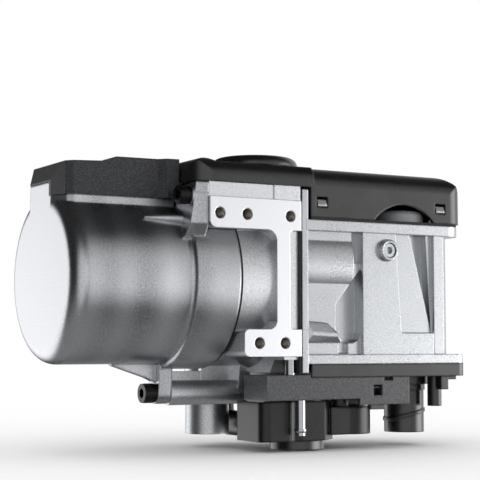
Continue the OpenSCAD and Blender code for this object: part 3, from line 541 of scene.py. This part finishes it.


# The finish of each material slot of the record. Real grains of 0.05 to 0.3 mm are too fine to
# show in the render, so they are drawn 0.3 to 0.9 mm wide, and their relief is matched.
FINISHES: dict[str, Finish] = {
    # Die-cast aluminium silicon alloy, shot blasted: even satin grey with no sharp reflection,
    # and soft bands round the drawn-out cylinder.
    "cast_aluminium": Finish(
        "blasted_die_cast_aluminium", Surface.BLASTED, "#94969A", "#D2D4D7", 0.28, 1.0,
        grain_mm=0.6, relief_mm=0.014, edge_mm=1.2, band_mm=17.0,
    ),
    # The same alloy as cast, inside the pot: plain dull grey.
    "finned_aluminium": Finish(
        "as_cast_aluminium", Surface.BLASTED, "#A9AAAB", "#BDBEBF", 0.5, 1.0, grain_mm=0.9,
    ),
    # EPDM seals: matt black, a little grey from bloom.
    "black_rubber": Finish(
        "moulded_rubber", Surface.MOULDED, "#141415", "#1B1B1C", 0.72, grain_mm=0.4,
    ),
    # Expanded graphite gasket: dark grey, felted.
    "graphite_gasket": Finish(
        "graphite_gasket_sheet", Surface.FIBRE, "#1F2021", "#2C2D2E", 0.7, grain_mm=0.5,
    ),
    # Blackened steel screws: black with a soft oily gloss.
    "black_oxide_steel": Finish(
        "black_oxide_steel", Surface.TURNED, "#232324", "#303031", 0.26, 0.9, grain_mm=0.4,
        relief_mm=0.006, edge_mm=0.25,
    ),
    # Zinc plated steel: cool grey, half bright.
    "zinc_steel": Finish(
        "zinc_plated_steel", Surface.TURNED, "#A9ACB0", "#C3C6CA", 0.3, 1.0, grain_mm=0.5,
        relief_mm=0.006, edge_mm=0.25,
    ),
    # Hot-dip aluminised steel tube of the exhaust: dull silver, mottled like a fine casting.
    "aluminised_steel": Finish(
        "aluminised_steel_tube", Surface.BLASTED, "#A2A4A6", "#CCCED0", 0.36, 1.0, grain_mm=0.6,
        relief_mm=0.012, edge_mm=0.4,
    ),
    # Heat resistant stainless steel, straw coloured by heat.
    "heat_resistant_steel": Finish(
        "heat_tinted_stainless", Surface.ROLLED, "#8C8072", "#A49784", 0.4, 1.0, grain_mm=0.8,
    ),
    # Sintered metal fibre mat: dark, rough.
    "metal_fibre": Finish(
        "metal_fibre_mat", Surface.FIBRE, "#57534D", "#77726A", 0.65, 0.8, grain_mm=0.4,
        relief_mm=0.08,
    ),
    # Polished stainless steel of the fuel nipple and shafts: mirror-like.
    "bright_steel": Finish(
        "polished_stainless_steel", Surface.TURNED, "#A6A8AB", "#B4B6B9", 0.1, 1.0,
        grain_mm=0.6, relief_mm=0.0004, edge_mm=0.2,
    ),
    # Drawn steel of the motor can and core: plain grey with fine lines.
    "motor_steel": Finish(
        "drawn_motor_steel", Surface.TURNED, "#9A9C9E", "#B2B4B6", 0.3, 1.0, grain_mm=0.5,
        relief_mm=0.006,
    ),
    # Hard ferrite: dark grey and stony.
    "ferrite": Finish("ferrite", Surface.FIBRE, "#2C2C2E", "#38383A", 0.6, grain_mm=0.6),
    # Sintered bronze bearing metal: warm, matt, porous.
    "sintered_bronze": Finish(
        "sintered_bronze", Surface.BLASTED, "#A6834D", "#B8945C", 0.5, 1.0, grain_mm=0.3,
    ),
    # Enamelled copper wire and bare copper segments: red-brown, ribbed by the turns.
    "copper": Finish(
        "enamelled_copper", Surface.WOUND, "#7E3B1D", "#C06A3C", 0.3, 1.0, grain_mm=0.5,
        relief_mm=0.15,
    ),
    # Glass filled nylon of the lid, the base plate and other mouldings: satin black.
    "moulded_black_plastic": Finish(
        "satin_black_nylon", Surface.MOULDED, "#0F0F10", "#151516", 0.27, ior=1.66,
        grain_mm=0.35, relief_mm=0.016, edge_mm=1.3,
    ),
    # The sensor cover has a spark-eroded grain; the light that it scatters is painted as grey
    # points on its raised parts.
    "grained_black_plastic": Finish(
        "grained_black_nylon", Surface.GRAIN_WITH_PAINTED_GLINTS, "#1A1B1D", "#4A4B4F", 0.42, ior=1.42,
        grain_mm=0.4, relief_mm=0.05, edge_mm=0.7,
    ),
    # Glass filled plastic of the pump: black with a soft gloss.
    "glass_filled_plastic": Finish(
        "glass_filled_black", Surface.MOULDED, "#0D0D0E", "#131314", 0.28, ior=1.43,
        grain_mm=0.4, relief_mm=0.012, edge_mm=1.4,
    ),
    # Green solder lacquer over copper tracks on glass laminate: glossy, lighter on the tracks.
    "circuit_board": Finish(
        "lacquered_board", Surface.PRINTED, "#0C4A26", "#1B6B3B", 0.28, grain_mm=0.35,
    ),
    # Moulded epoxy of chips and sensor bodies: dark and dull.
    "component_black": Finish(
        "moulded_epoxy", Surface.MOULDED, "#18181A", "#202022", 0.5, grain_mm=0.3,
    ),
    # Turned brass of the sensor and the contacts: yellow, bright.
    "brass": Finish(
        "turned_brass", Surface.TURNED, "#B0903F", "#CBAA57", 0.25, 1.0, grain_mm=0.4,
        relief_mm=0.006,
    ),
}
# The casting with the bracket face is the same alloy, milled on the plane of its holes.
BRACKET_CASTING = Finish(
    "die_cast_aluminium_milled_face", Surface.MACHINED, "#B6B8BB", "#EDEEF1", 0.38, 1.0,
    grain_mm=0.7, relief_mm=0.018, edge_mm=0.5,
)
# Cut threads are bare, bright and a little warm from the tapping oil.
TAPPED_ALUMINIUM = Finish(
    "tapped_aluminium", Surface.TURNED, "#B4AFA6", "#D6D1C8", 0.22, 1.0, grain_mm=0.3,
    relief_mm=0.001, edge_mm=0.04,
)
# The round cap behind the arch is a paler rubber than the seals.
GREY_RUBBER = Finish(
    "grey_moulded_rubber", Surface.MOULDED, "#8E9093", "#9C9EA1", 0.5, grain_mm=0.4,
)
# The pump bracket is grained like the sensor cover, with the same painted glints, and a little more
# sheen.
GRAINED_BRACKET = Finish(
    "grained_glossy_nylon", Surface.GRAIN_WITH_PAINTED_GLINTS, "#1E1F21", "#606166", 0.32, ior=1.6,
    grain_mm=0.45, relief_mm=0.05, edge_mm=1.0,
)
# The blower housing is blasted with finer shot, and looks paler.
HOUSING_CASTING = Finish(
    "fine_blasted_aluminium", Surface.BLASTED, "#A2A4A7", "#CBCDD0", 0.28, 1.0,
    grain_mm=0.5, relief_mm=0.014, edge_mm=0.8,
)


class Workshop:
    """Makes each material once, and dresses the model's nodes and the new pieces with them."""

    def __init__(self) -> None:
        """Starts with no materials made."""
        self.materials: dict[str, bpy.types.Material] = {}

    def material(self, finish: Finish) -> bpy.types.Material:
        """Gives the material of a finish, made at its first use.

        Args:
            finish: the finish that is wanted.

        Returns:
            Its material.
        """
        if finish.name not in self.materials:
            self.materials[finish.name] = finish.build()
        return self.materials[finish.name]

    def dress(self, obj: bpy.types.Object, finish: Finish) -> None:
        """Gives every material slot of an object one finish.

        Args:
            obj: a node of the model or a new piece.
            finish: what it is made of.
        """
        material = self.material(finish)
        if not obj.material_slots:
            obj.data.materials.append(material)
        for place in obj.material_slots:
            place.material = material

    def dress_model(self) -> None:
        """Dresses every node of the model by the record's material slots."""
        special = {
            "burner_head": BRACKET_CASTING,
            "blower_housing": HOUSING_CASTING,
            "vent_cap": GREY_RUBBER,
            "pump_bracket": GRAINED_BRACKET,
        }
        for part in frame["record"]["subparts"]:
            node = part["node"]
            finish = special.get(node, FINISHES[part["material_slot"]])
            self.dress(frame["nodes"][node], finish)

    def piece(
        self,
        name: str,
        mesh: bmesh.types.BMesh,
        slot: str,
        body: str = HEATER,
        smooth: bool = True,
        finish: Finish | None = None,
    ) -> bpy.types.Object:
        """Turns a bmesh into a dressed piece that rides on a body.

        Args:
            name: name of the new object.
            mesh: its geometry in the row frame, in metres; it is freed here.
            slot: the record's material slot that it belongs to.
            body: the body that it rides on.
            smooth: whether its faces are shaded smooth.
            finish: its finish, where it isn't the slot's.

        Returns:
            The new object.
        """
        data = bpy.data.meshes.new(name)
        mesh.to_mesh(data)
        mesh.free()
        for face in data.polygons:
            face.use_smooth = smooth
        obj = bpy.data.objects.new(name, data)
        bpy.context.scene.collection.objects.link(obj)
        self.dress(obj, finish or FINISHES[slot])
        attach(obj, body)
        LOG.info("piece %s: %d faces", name, len(data.polygons))
        return obj


def add_box(mesh: bmesh.types.BMesh, low: Vector, high: Vector) -> None:
    """Adds a box between two corners.

    Args:
        mesh: the bmesh that takes it.
        low: lowest corner, in metres.
        high: highest corner, in metres.
    """
    size = high - low
    place = Matrix.Translation((low + high) / 2) @ Matrix.Diagonal((*size, 1.0))
    bmesh.ops.create_cube(mesh, size=1.0, matrix=place)


def add_rod(
    mesh: bmesh.types.BMesh, start: Vector, end: Vector, radius: float, tip: float, sides: int
) -> None:
    """Adds a round rod, straight or tapered, between two points.

    Args:
        mesh: the bmesh that takes it.
        start: middle of the first end, in metres.
        end: middle of the second end, in metres.
        radius: radius at the first end, in metres.
        tip: radius at the second end, in metres.
        sides: number of sides.
    """
    along = end - start
    turn = along.to_track_quat("Z", "Y").to_matrix().to_4x4()
    bmesh.ops.create_cone(
        mesh, cap_ends=True, segments=sides, radius1=radius, radius2=tip, depth=along.length,
        matrix=Matrix.Translation((start + end) / 2) @ turn,
    )


def add_hull(mesh: bmesh.types.BMesh, points: Iterable[Vector]) -> None:
    """Adds the convex solid round some points.

    Args:
        mesh: the bmesh that takes it.
        points: the corners, in metres. Those inside the solid are dropped.
    """
    corners = [mesh.verts.new(point) for point in points]
    made = bmesh.ops.convex_hull(mesh, input=corners)
    spare = {item for item in made["geom_interior"] if isinstance(item, bmesh.types.BMVert)}
    bmesh.ops.delete(mesh, geom=list(spare), context="VERTS")


def add_skin(mesh: bmesh.types.BMesh, loops: list[list[bmesh.types.BMVert]]) -> None:
    """Joins loops of points into one closed skin, with a cap on the first and the last.

    Args:
        mesh: the bmesh that holds the points and takes the faces.
        loops: the loops in order, all with the same number of points.
    """
    count = len(loops[0])
    for first, second in zip(loops, loops[1:]):
        for k in range(count):
            j = (k + 1) % count
            mesh.faces.new((first[k], first[j], second[j], second[k]))
    mesh.faces.new(loops[0][::-1])
    mesh.faces.new(loops[-1])


@dataclass
class SocketHeads:
    """Knurls round the heads of the socket screws that stand free.

    Attributes:
        axes: middle of each lug screw as Y and Z, in metres.
        ridge: how far a ridge stands out of the head.
        bead: radius of the rod that makes a ridge, in ridges. The rest of it lies in the head.
        sides: sides of that rod.
        pitch: distance between ridges round the head.
        clear: plain band at the top and the foot of the head.
        rim: points this near the widest radius belong to the head.
    """

    axes: tuple[tuple[float, float], ...] = (
        (6.2 * MM, 8.0 * MM), (44.5 * MM, -84.0 * MM), (79.0 * MM, 5.0 * MM),
    )
    ridge: float = 0.10 * MM
    bead: float = 1.5
    sides: int = 6
    pitch: float = 0.85 * MM
    clear: float = 0.9 * MM
    rim: float = 0.1 * MM

    def build(self, shop: Workshop) -> None:
        """Adds the knurls of the three lug screws.

        Args:
            shop: makes and dresses the pieces.
        """
        thick = self.ridge * self.bead
        heads = self._heads(frame["nodes"]["lug_screws"])
        for number, (middle, radius, length) in enumerate(heads):
            mesh = bmesh.new()
            count = int(2 * math.pi * radius / self.pitch)
            for i in range(count):
                turn = 2 * math.pi * i / count
                out = Vector((0.0, math.cos(turn), math.sin(turn)))
                foot = middle + out * (radius - self.ridge * (self.bead - 1.0))
                start = foot + Vector((self.clear, 0.0, 0.0))
                end = foot + Vector((length - self.clear, 0.0, 0.0))
                add_rod(mesh, start, end, thick, thick, self.sides)
            shop.piece(f"lug_screw_knurl_{number}", mesh, "black_oxide_steel")

    def _heads(self, screws: bpy.types.Object) -> Iterator[tuple[Vector, float, float]]:
        """Finds each head from the screws' own mesh.

        Args:
            screws: the node that holds the three screws.

        Returns:
            For each head, the middle of its outer end, its radius and its length.
        """
        axes = [Vector((0.0, y, z)) for y, z in self.axes]
        groups: list[list[Vector]] = [[] for _ in axes]
        for vertex in screws.data.vertices:
            near = min(range(len(axes)), key=lambda i: (vertex.co.yz - axes[i].yz).length)
            groups[near].append(vertex.co.copy())
        for axis, points in zip(axes, groups):
            start = min(p.x for p in points)
            radius = max((p.yz - axis.yz).length for p in points)
            wide = [p.x for p in points if (p.yz - axis.yz).length > radius - self.rim]
            yield Vector((start, axis.y, axis.z)), radius, max(wide) - start


@dataclass
class TappedHoles:
    """Threads in the blind holes of the bracket face.

    Attributes:
        pitch: rise of the thread in a turn, in metres.
        depth: how far a ridge stands into the hole.
        foot: half the width of a ridge at its foot, as a share of the pitch.
        sunk: how far its foot lies in the wall.
        start: depth below the face at which the thread begins.
        end: depth at which it runs out.
        steps: points in a turn.
    """

    pitch: float = 1.0 * MM
    depth: float = 0.5 * MM
    foot: float = 0.42
    sunk: float = 0.1 * MM
    start: float = 0.5 * MM
    end: float = 9.0 * MM
    steps: int = 28

    def build(self, shop: Workshop) -> None:
        """Adds a thread to each hole that the record's mounts name on the face.

        Args:
            shop: makes and dresses the pieces.
        """
        number = 0
        for mount in frame["record"]["mounts"]:
            for x, z, radius in self._holes(mount):
                mesh = bmesh.new()
                self._thread(mesh, x, z, radius)
                shop.piece(
                    f"bracket_thread_{number}", mesh, "cast_aluminium", finish=TAPPED_ALUMINIUM
                )
                number += 1

    def _holes(self, mount: dict) -> Iterator[tuple[float, float, float]]:
        """Finds the holes of a mount; one that isn't for screws has none.

        Args:
            mount: a mount of the record.

        Returns:
            For each hole, its place along X and Z and its radius, in metres.
        """
        dims = mount["dims"]
        x, _, z = mount["pos_m"]
        if mount["kind"] == "threaded_hole":
            yield x, z, dims["r_mm"] * MM
        if mount["kind"] == "bolt_pattern":
            half = dims["spacing_x_mm"] / 2 * MM
            for side in (-half, half):
                yield x + side, z, dims["hole_r_mm"] * MM

    def _thread(self, mesh: bmesh.types.BMesh, x: float, z: float, radius: float) -> None:
        """Sweeps the triangle of the ridge along a helix.

        Args:
            mesh: the bmesh that takes the thread.
            x: place of the hole along X, in metres.
            z: its place along Z.
            radius: its radius.
        """
        half = Vector((0.0, self.pitch * self.foot, 0.0))
        turns = (self.end - self.start) / self.pitch
        loops = []
        for i in range(int(turns * self.steps) + 1):
            turn = 2 * math.pi * i / self.steps
            out = Vector((math.cos(turn), 0.0, math.sin(turn)))
            middle = Vector((x, self.start + self.pitch * i / self.steps, z))
            wall = middle + out * (radius + self.sunk)
            points = (wall - half, middle + out * (radius - self.depth), wall + half)
            loops.append([mesh.verts.new(p) for p in points])
        add_skin(mesh, loops)
        bmesh.ops.recalc_face_normals(mesh, faces=mesh.faces)


@dataclass
class LidCatches:
    """Rounded fronts of the housing's catches, which show in the lid's two snap windows.

    Attributes:
        lefts: left side of each catch, in metres.
        width: width of a catch, in metres.
        section: outline of a catch as pairs of Y and Z in metres, from its root over the nose to
            its foot.
    """

    lefts: tuple[float, ...] = (35.0 * MM, 106.0 * MM)
    width: float = 5.2 * MM
    section: tuple[tuple[float, float], ...] = (
        (3.45 * MM, 9.4 * MM), (1.7 * MM, 9.0 * MM), (0.8 * MM, 6.4 * MM), (1.1 * MM, 5.6 * MM),
        (3.45 * MM, 5.5 * MM),
    )

    def build(self, shop: Workshop) -> None:
        """Adds both catches as one piece.

        Args:
            shop: makes and dresses the pieces.
        """
        mesh = bmesh.new()
        for left in self.lefts:
            ends = (left, left + self.width)
            add_hull(mesh, [Vector((x, y, z)) for x in ends for y, z in self.section])
        shop.piece(
            "lid_catch_fronts", mesh, "cast_aluminium", finish=HOUSING_CASTING, smooth=False
        )


@dataclass
class CoverCorner:
    """Lower part of the sensor cover's left front corner, which closes it down to the deck.

    Attributes:
        plan_mm: outline as pairs of X, from the exchanger's end, and Y, in millimetres.
        bottom: height of the deck, in metres.
        top: height inside the lip of the cover, in metres.
    """

    plan_mm: tuple[tuple[float, float], ...] = (
        (0.1, 33.5), (0.1, 32.0), (3.0, 21.6), (6.0, 19.1), (6.0, 33.5),
    )
    bottom: float = 7.35 * MM
    top: float = 14.0 * MM

    def build(self, shop: Workshop) -> None:
        """Adds the corner.

        Args:
            shop: makes and dresses the pieces.
        """
        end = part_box("heat_exchanger_shell")[0].x
        plan = [(end + x * MM, y * MM) for x, y in self.plan_mm]
        mesh = bmesh.new()
        add_hull(mesh, [Vector((x, y, z)) for z in (self.bottom, self.top) for x, y in plan])
        shop.piece("sensor_cover_corner", mesh, "grained_black_plastic", smooth=False)


@dataclass
class HousingSwell:
    """Roof-shaped swell low on the front of the blower housing, over the model's flat one.

    Attributes:
        wall: place of the housing's front wall along Y, in metres.
        brow: place along Y where the steep rim ends and the two slopes begin, in metres.
        crest: place of the narrow front face along Y, in metres.
        outline_mm: outline at the wall as pairs of X and Z, in millimetres.
        shoulder_mm: outline at the brow.
        front_mm: outline of the narrow front face.
    """

    wall: float = 4.1 * MM
    brow: float = 1.6 * MM
    crest: float = 0.1 * MM
    outline_mm: tuple[tuple[float, float], ...] = (
        (29.0, -49.2), (41.0, -50.1), (46.0, -54.0), (49.2, -59.0), (48.6, -60.2), (29.0, -60.2),
    )
    shoulder_mm: tuple[tuple[float, float], ...] = (
        (29.0, -49.7), (40.8, -50.6), (45.6, -54.4), (48.7, -59.1), (48.2, -59.7), (29.0, -59.7),
    )
    front_mm: tuple[tuple[float, float], ...] = (
        (31.4, -54.6), (44.8, -55.4), (46.2, -56.9), (31.4, -56.2),
    )

    def build(self, shop: Workshop) -> None:
        """Adds the swell.

        Args:
            shop: makes and dresses the pieces.
        """
        places = (self.wall, self.brow, self.crest)
        layers = zip(places, (self.outline_mm, self.shoulder_mm, self.front_mm))
        mesh = bmesh.new()
        add_hull(mesh, [Vector((x * MM, y, z * MM)) for y, layer in layers for x, z in layer])
        shop.piece("housing_swell", mesh, "cast_aluminium", finish=HOUSING_CASTING, smooth=False)


@dataclass
class SnapPocket:
    """Pocket behind the square window of the pump bracket, with the bar that a snap hook catches.

    Attributes:
        low: lowest corner of the hollow, in metres.
        high: highest corner of the hollow.
        wall: wall of the pocket.
        bar: length of the bar, from the left wall.
        ahead: how far the bar's front stands before the pocket, inside the window.
        drop: distance of the bar's top from the ceiling.
        thick: thickness of the bar.
    """

    low: Vector = Vector((67.0 * MM, 3.5 * MM, -85.6 * MM))
    high: Vector = Vector((72.6 * MM, 8.5 * MM, -80.2 * MM))
    wall: float = 0.8 * MM
    bar: float = 4.0 * MM
    ahead: float = 1.4 * MM
    drop: float = 1.0 * MM
    thick: float = 0.8 * MM

    def build(self, shop: Workshop) -> None:
        """Adds the pocket as a cup that opens toward the window, and its bar.

        Args:
            shop: makes and dresses the pieces.
        """
        low, high = self.low, self.high
        back = high.y + self.wall
        mesh = bmesh.new()
        loops = []
        for y, spread in ((back, self.wall), (low.y, self.wall), (low.y, 0.0), (high.y, 0.0)):
            left, right = low.x - spread, high.x + spread
            bottom, top = low.z - spread, high.z + spread
            corners = ((left, bottom), (right, bottom), (right, top), (left, top))
            loops.append([mesh.verts.new((x, y, z)) for x, z in corners])
        add_skin(mesh, loops)
        roof = high.z - self.drop
        add_box(
            mesh,
            Vector((low.x - self.wall / 2, low.y - self.ahead, roof - self.thick)),
            Vector((low.x + self.bar, low.y - self.ahead + self.thick, roof)),
        )
        bmesh.ops.recalc_face_normals(mesh, faces=mesh.faces)
        shop.piece("bracket_snap_pocket", mesh, "moulded_black_plastic", smooth=False)


@dataclass
class HarnessContacts:
    """Contact pins in the sockets of the harness header.

    Attributes:
        sockets: number of sockets, side by side.
        rows: rows of pins in a socket.
        columns: pins in a row.
        width: side of a square pin, in metres.
        length: how far a pin stands out of the socket's floor.
        sunk: how far it reaches into the floor.
        height: height of the header's mouth.
        wall: wall of the header round its sockets.
        web: wall between two sockets.
        floor: distance from the header's mouth to the floor of a socket.
    """

    sockets: int = 2
    rows: int = 2
    columns: int = 4
    width: float = 0.8 * MM
    length: float = 6.0 * MM
    sunk: float = 0.5 * MM
    height: float = 15.0 * MM
    wall: float = 1.6 * MM
    web: float = 2.0 * MM
    floor: float = 8.0 * MM

    def build(self, shop: Workshop) -> None:
        """Adds the pins of each socket as one piece.

        Args:
            shop: makes and dresses the pieces.
        """
        low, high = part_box("harness_header")
        bottom = high.z - self.height + self.wall
        webs = (self.sockets - 1) * self.web
        wide = (high.x - low.x - 2 * self.wall - webs) / self.sockets
        tall = self.height - 2 * self.wall
        for number in range(self.sockets):
            left = low.x + self.wall + number * (wide + self.web)
            mesh = bmesh.new()
            for row in range(self.rows):
                for column in range(self.columns):
                    x = left + wide * (column + 0.5) / self.columns
                    z = bottom + tall * (row + 0.5) / self.rows
                    self._pin(mesh, x, high.y - self.floor, z)
            shop.piece(f"harness_contacts_{number}", mesh, "brass", smooth=False)

    def _pin(self, mesh: bmesh.types.BMesh, x: float, y: float, z: float) -> None:
        """Adds one square pin that stands on the floor of its socket.

        Args:
            mesh: the bmesh that takes it.
            x: place of its middle along X, in metres.
            y: place of the floor along Y.
            z: place of its middle along Z.
        """
        half = self.width / 2
        low = Vector((x - half, y - self.sunk, z - half))
        add_box(mesh, low, Vector((x + half, y + self.length, z + half)))


@dataclass
class BoardSolder:
    """Solder joints of the harness header on the control board.

    Attributes:
        rows: rows of joints.
        first: distance of the first row from the front of the header, in metres.
        apart: distance between the rows.
        pitch: distance between the joints of a row.
        radius: radius of a joint at the board.
        tip: radius of its top, as a share of that.
        rise: height of a joint.
        sunk: how far its foot lies in the board.
        sides: sides of a joint.
    """

    rows: int = 2
    first: float = 1.5 * MM
    apart: float = 2.5 * MM
    pitch: float = 2.54 * MM
    radius: float = 0.7 * MM
    tip: float = 0.35
    rise: float = 0.8 * MM
    sunk: float = 0.05 * MM
    sides: int = 12

    def build(self, shop: Workshop) -> None:
        """Adds the rows of joints in front of the header as one piece.

        Args:
            shop: makes and dresses the pieces.
        """
        board_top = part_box("control_board")[1].z
        low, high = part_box("harness_header")
        rise = Vector((0.0, 0.0, self.rise))
        mesh = bmesh.new()
        for row in range(self.rows):
            y = low.y - (self.first + row * self.apart)
            for i in range(int((high.x - low.x) / self.pitch)):
                foot = Vector((low.x + self.pitch * (i + 0.5), y, board_top - self.sunk))
                add_rod(mesh, foot, foot + rise, self.radius, self.radius * self.tip, self.sides)
        shop.piece("header_solder_joints", mesh, "zinc_steel")


@dataclass(frozen=True)
class Glow:
    """A soft bright patch of the studio, as polished or satin metal mirrors it.

    Attributes:
        aim: direction toward its middle, in the row frame.
        core: half angle of its even middle, in degrees.
        rim: half angle at which it has faded out, in degrees.
        strength: brightness in its middle.
    """

    aim: tuple[float, float, float]
    core: float
    rim: float
    strength: float


@dataclass
class Studio:
    """Floor, soft light and camera.

    Attributes:
        eye: place of the camera in the row frame, in metres.
        turn: how far the camera looks to the right of the row's depth axis, in degrees.
        rise: how far it looks upward, in degrees.
        focal: focal length over the image width, both in pixels of the 480 pixel frame.
        sensor: sensor width in millimetres.
        clip: nearest and farthest distance that the camera sees, in metres.
        gap: distance of the floor below the lowest point of the object, in metres.
        reach: radius of the floor, in metres.
        sides: sides of the floor's edge.
        shade: brightness that metal and gloss mirror where no patch is.
        glows: the soft patches that they mirror.
    """

    eye: Vector = Vector((-0.3277, -0.5640, -0.0605))
    turn: float = 29.5
    rise: float = 4.25
    focal: float = 1400 / 480
    sensor: float = 36.0
    clip: tuple[float, float] = (0.01, 50.0)
    gap: float = 0.0005
    reach: float = 1.3
    sides: int = 96
    shade: float = 0.035
    glows: tuple[Glow, ...] = (
        # wide box in front, to the right, that the bracket face and the housing mirror
        Glow((0.49, -0.87, 0.10), 8.0, 46.0, 0.76),
        # brighter box further to the right, for the rounded right ends
        Glow((0.88, -0.47, -0.14), 10.0, 28.0, 4.4),
        # box behind, to the left, for the end face of the exchanger
        Glow((-0.46, 0.87, -0.19), 13.0, 35.0, 1.85),
        # fill from beside the camera and from the right back, so that no side is black
        Glow((-0.49, -0.87, 0.0), 12.0, 44.0, 0.95),
        Glow((0.90, 0.42, 0.05), 15.0, 55.0, 0.9),
        # weak light off the floor
        Glow((-0.25, 0.0, -0.97), 30.0, 75.0, 0.27),
    )

    def build(self) -> None:
        """Makes the camera, the floor and the light."""
        self._camera()
        self._floor()
        self._world()
        view = bpy.context.scene.view_settings
        view.view_transform = "Standard"
        view.look = "None"
        view.exposure = 0.0

    def _camera(self) -> None:
        """Makes the camera at the photograph's place and angle."""
        data = bpy.data.cameras.new("camera")
        data.sensor_width = self.sensor
        data.lens = self.focal * self.sensor
        data.clip_start, data.clip_end = self.clip
        data.dof.use_dof = False
        camera = bpy.data.objects.new("camera", data)
        bpy.context.scene.collection.objects.link(camera)
        turn, rise = math.radians(self.turn), math.radians(self.rise)
        ahead = Vector(
            (math.sin(turn) * math.cos(rise), math.cos(turn) * math.cos(rise), math.sin(rise))
        )
        look = ahead.to_track_quat("-Z", "Y").to_matrix().to_4x4()
        camera.matrix_world = Matrix.Translation(self.eye) @ look
        bpy.context.scene.camera = camera

    def _floor(self) -> None:
        """Makes the pale floor, just under the lowest point of the object."""
        mesh = bmesh.new()
        bmesh.ops.create_circle(mesh, cap_ends=True, segments=self.sides, radius=self.reach)
        data = bpy.data.meshes.new("floor")
        mesh.to_mesh(data)
        mesh.free()
        floor = bpy.data.objects.new("floor", data)
        floor.location.z = CAD_BOX[0].z - self.gap
        bpy.context.scene.collection.objects.link(floor)
        # Matt white card, with no gloss of its own, so that it fades into the background.
        material = bpy.data.materials.new("pale_floor")
        material.use_nodes = True
        shader = material.node_tree.nodes["Principled BSDF"]
        shader.inputs["Base Color"].default_value = linear_colour("#FFFFFF")
        shader.inputs["Roughness"].default_value = 1.0
        shader.inputs["Specular IOR Level"].default_value = 0.0
        data.materials.append(material)
        floor.visible_glossy = False

    def _world(self) -> None:
        """Lights the scene: even white for the floor and the background, patches for gloss."""
        world = bpy.data.worlds.new("studio")
        bpy.context.scene.world = world
        world.use_nodes = True
        world.cycles.sampling_method = "NONE"
        tree = world.node_tree
        place = add_node(tree, "ShaderNodeTexCoord").outputs["Generated"]
        total = add_node(tree, "ShaderNodeValue").outputs["Value"]
        total.default_value = self.shade
        for glow in self.glows:
            total = add_node(
                tree,
                "ShaderNodeMath",
                operation="ADD",
                links={0: total, 1: self._glow(tree, place, glow)},
            ).outputs["Value"]
        path = add_node(tree, "ShaderNodeLightPath")
        light = add_node(
            tree,
            "ShaderNodeMix",
            values={"A": 1.0},
            links={"Factor": path.outputs["Is Glossy Ray"], "B": total},
        ).outputs["Result"]
        tree.links.new(light, tree.nodes["Background"].inputs["Color"])

    def _glow(
        self, tree: bpy.types.NodeTree, place: bpy.types.NodeSocket, glow: Glow
    ) -> bpy.types.NodeSocket:
        """Adds one soft patch.

        Args:
            tree: the world's node tree.
            place: direction of each ray.
            glow: the patch.

        Returns:
            Its brightness in that direction.
        """
        near = add_node(
            tree,
            "ShaderNodeVectorMath",
            operation="DOT_PRODUCT",
            values={1: Vector(glow.aim).normalized()},
            links={0: place},
        ).outputs["Value"]
        return add_node(
            tree,
            "ShaderNodeMapRange",
            interpolation_type="SMOOTHSTEP",
            values={
                "From Min": math.cos(math.radians(glow.rim)),
                "From Max": math.cos(math.radians(glow.core)),
                "To Min": 0.0,
                "To Max": glow.strength,
            },
            links={"Value": near},
        ).outputs["Result"]


def main() -> None:
    """Dresses the model, adds the trim, and sets up the studio."""
    logging.basicConfig(level=logging.INFO, format="%(name)s: %(message)s")
    shop = Workshop()
    shop.dress_model()
    trim = (
        SocketHeads(), TappedHoles(), LidCatches(), CoverCorner(), HousingSwell(), SnapPocket(),
        HarnessContacts(), BoardSolder(),
    )
    for part in trim:
        part.build(shop)
    Studio().build()


if __name__ == "__main__":
    main()
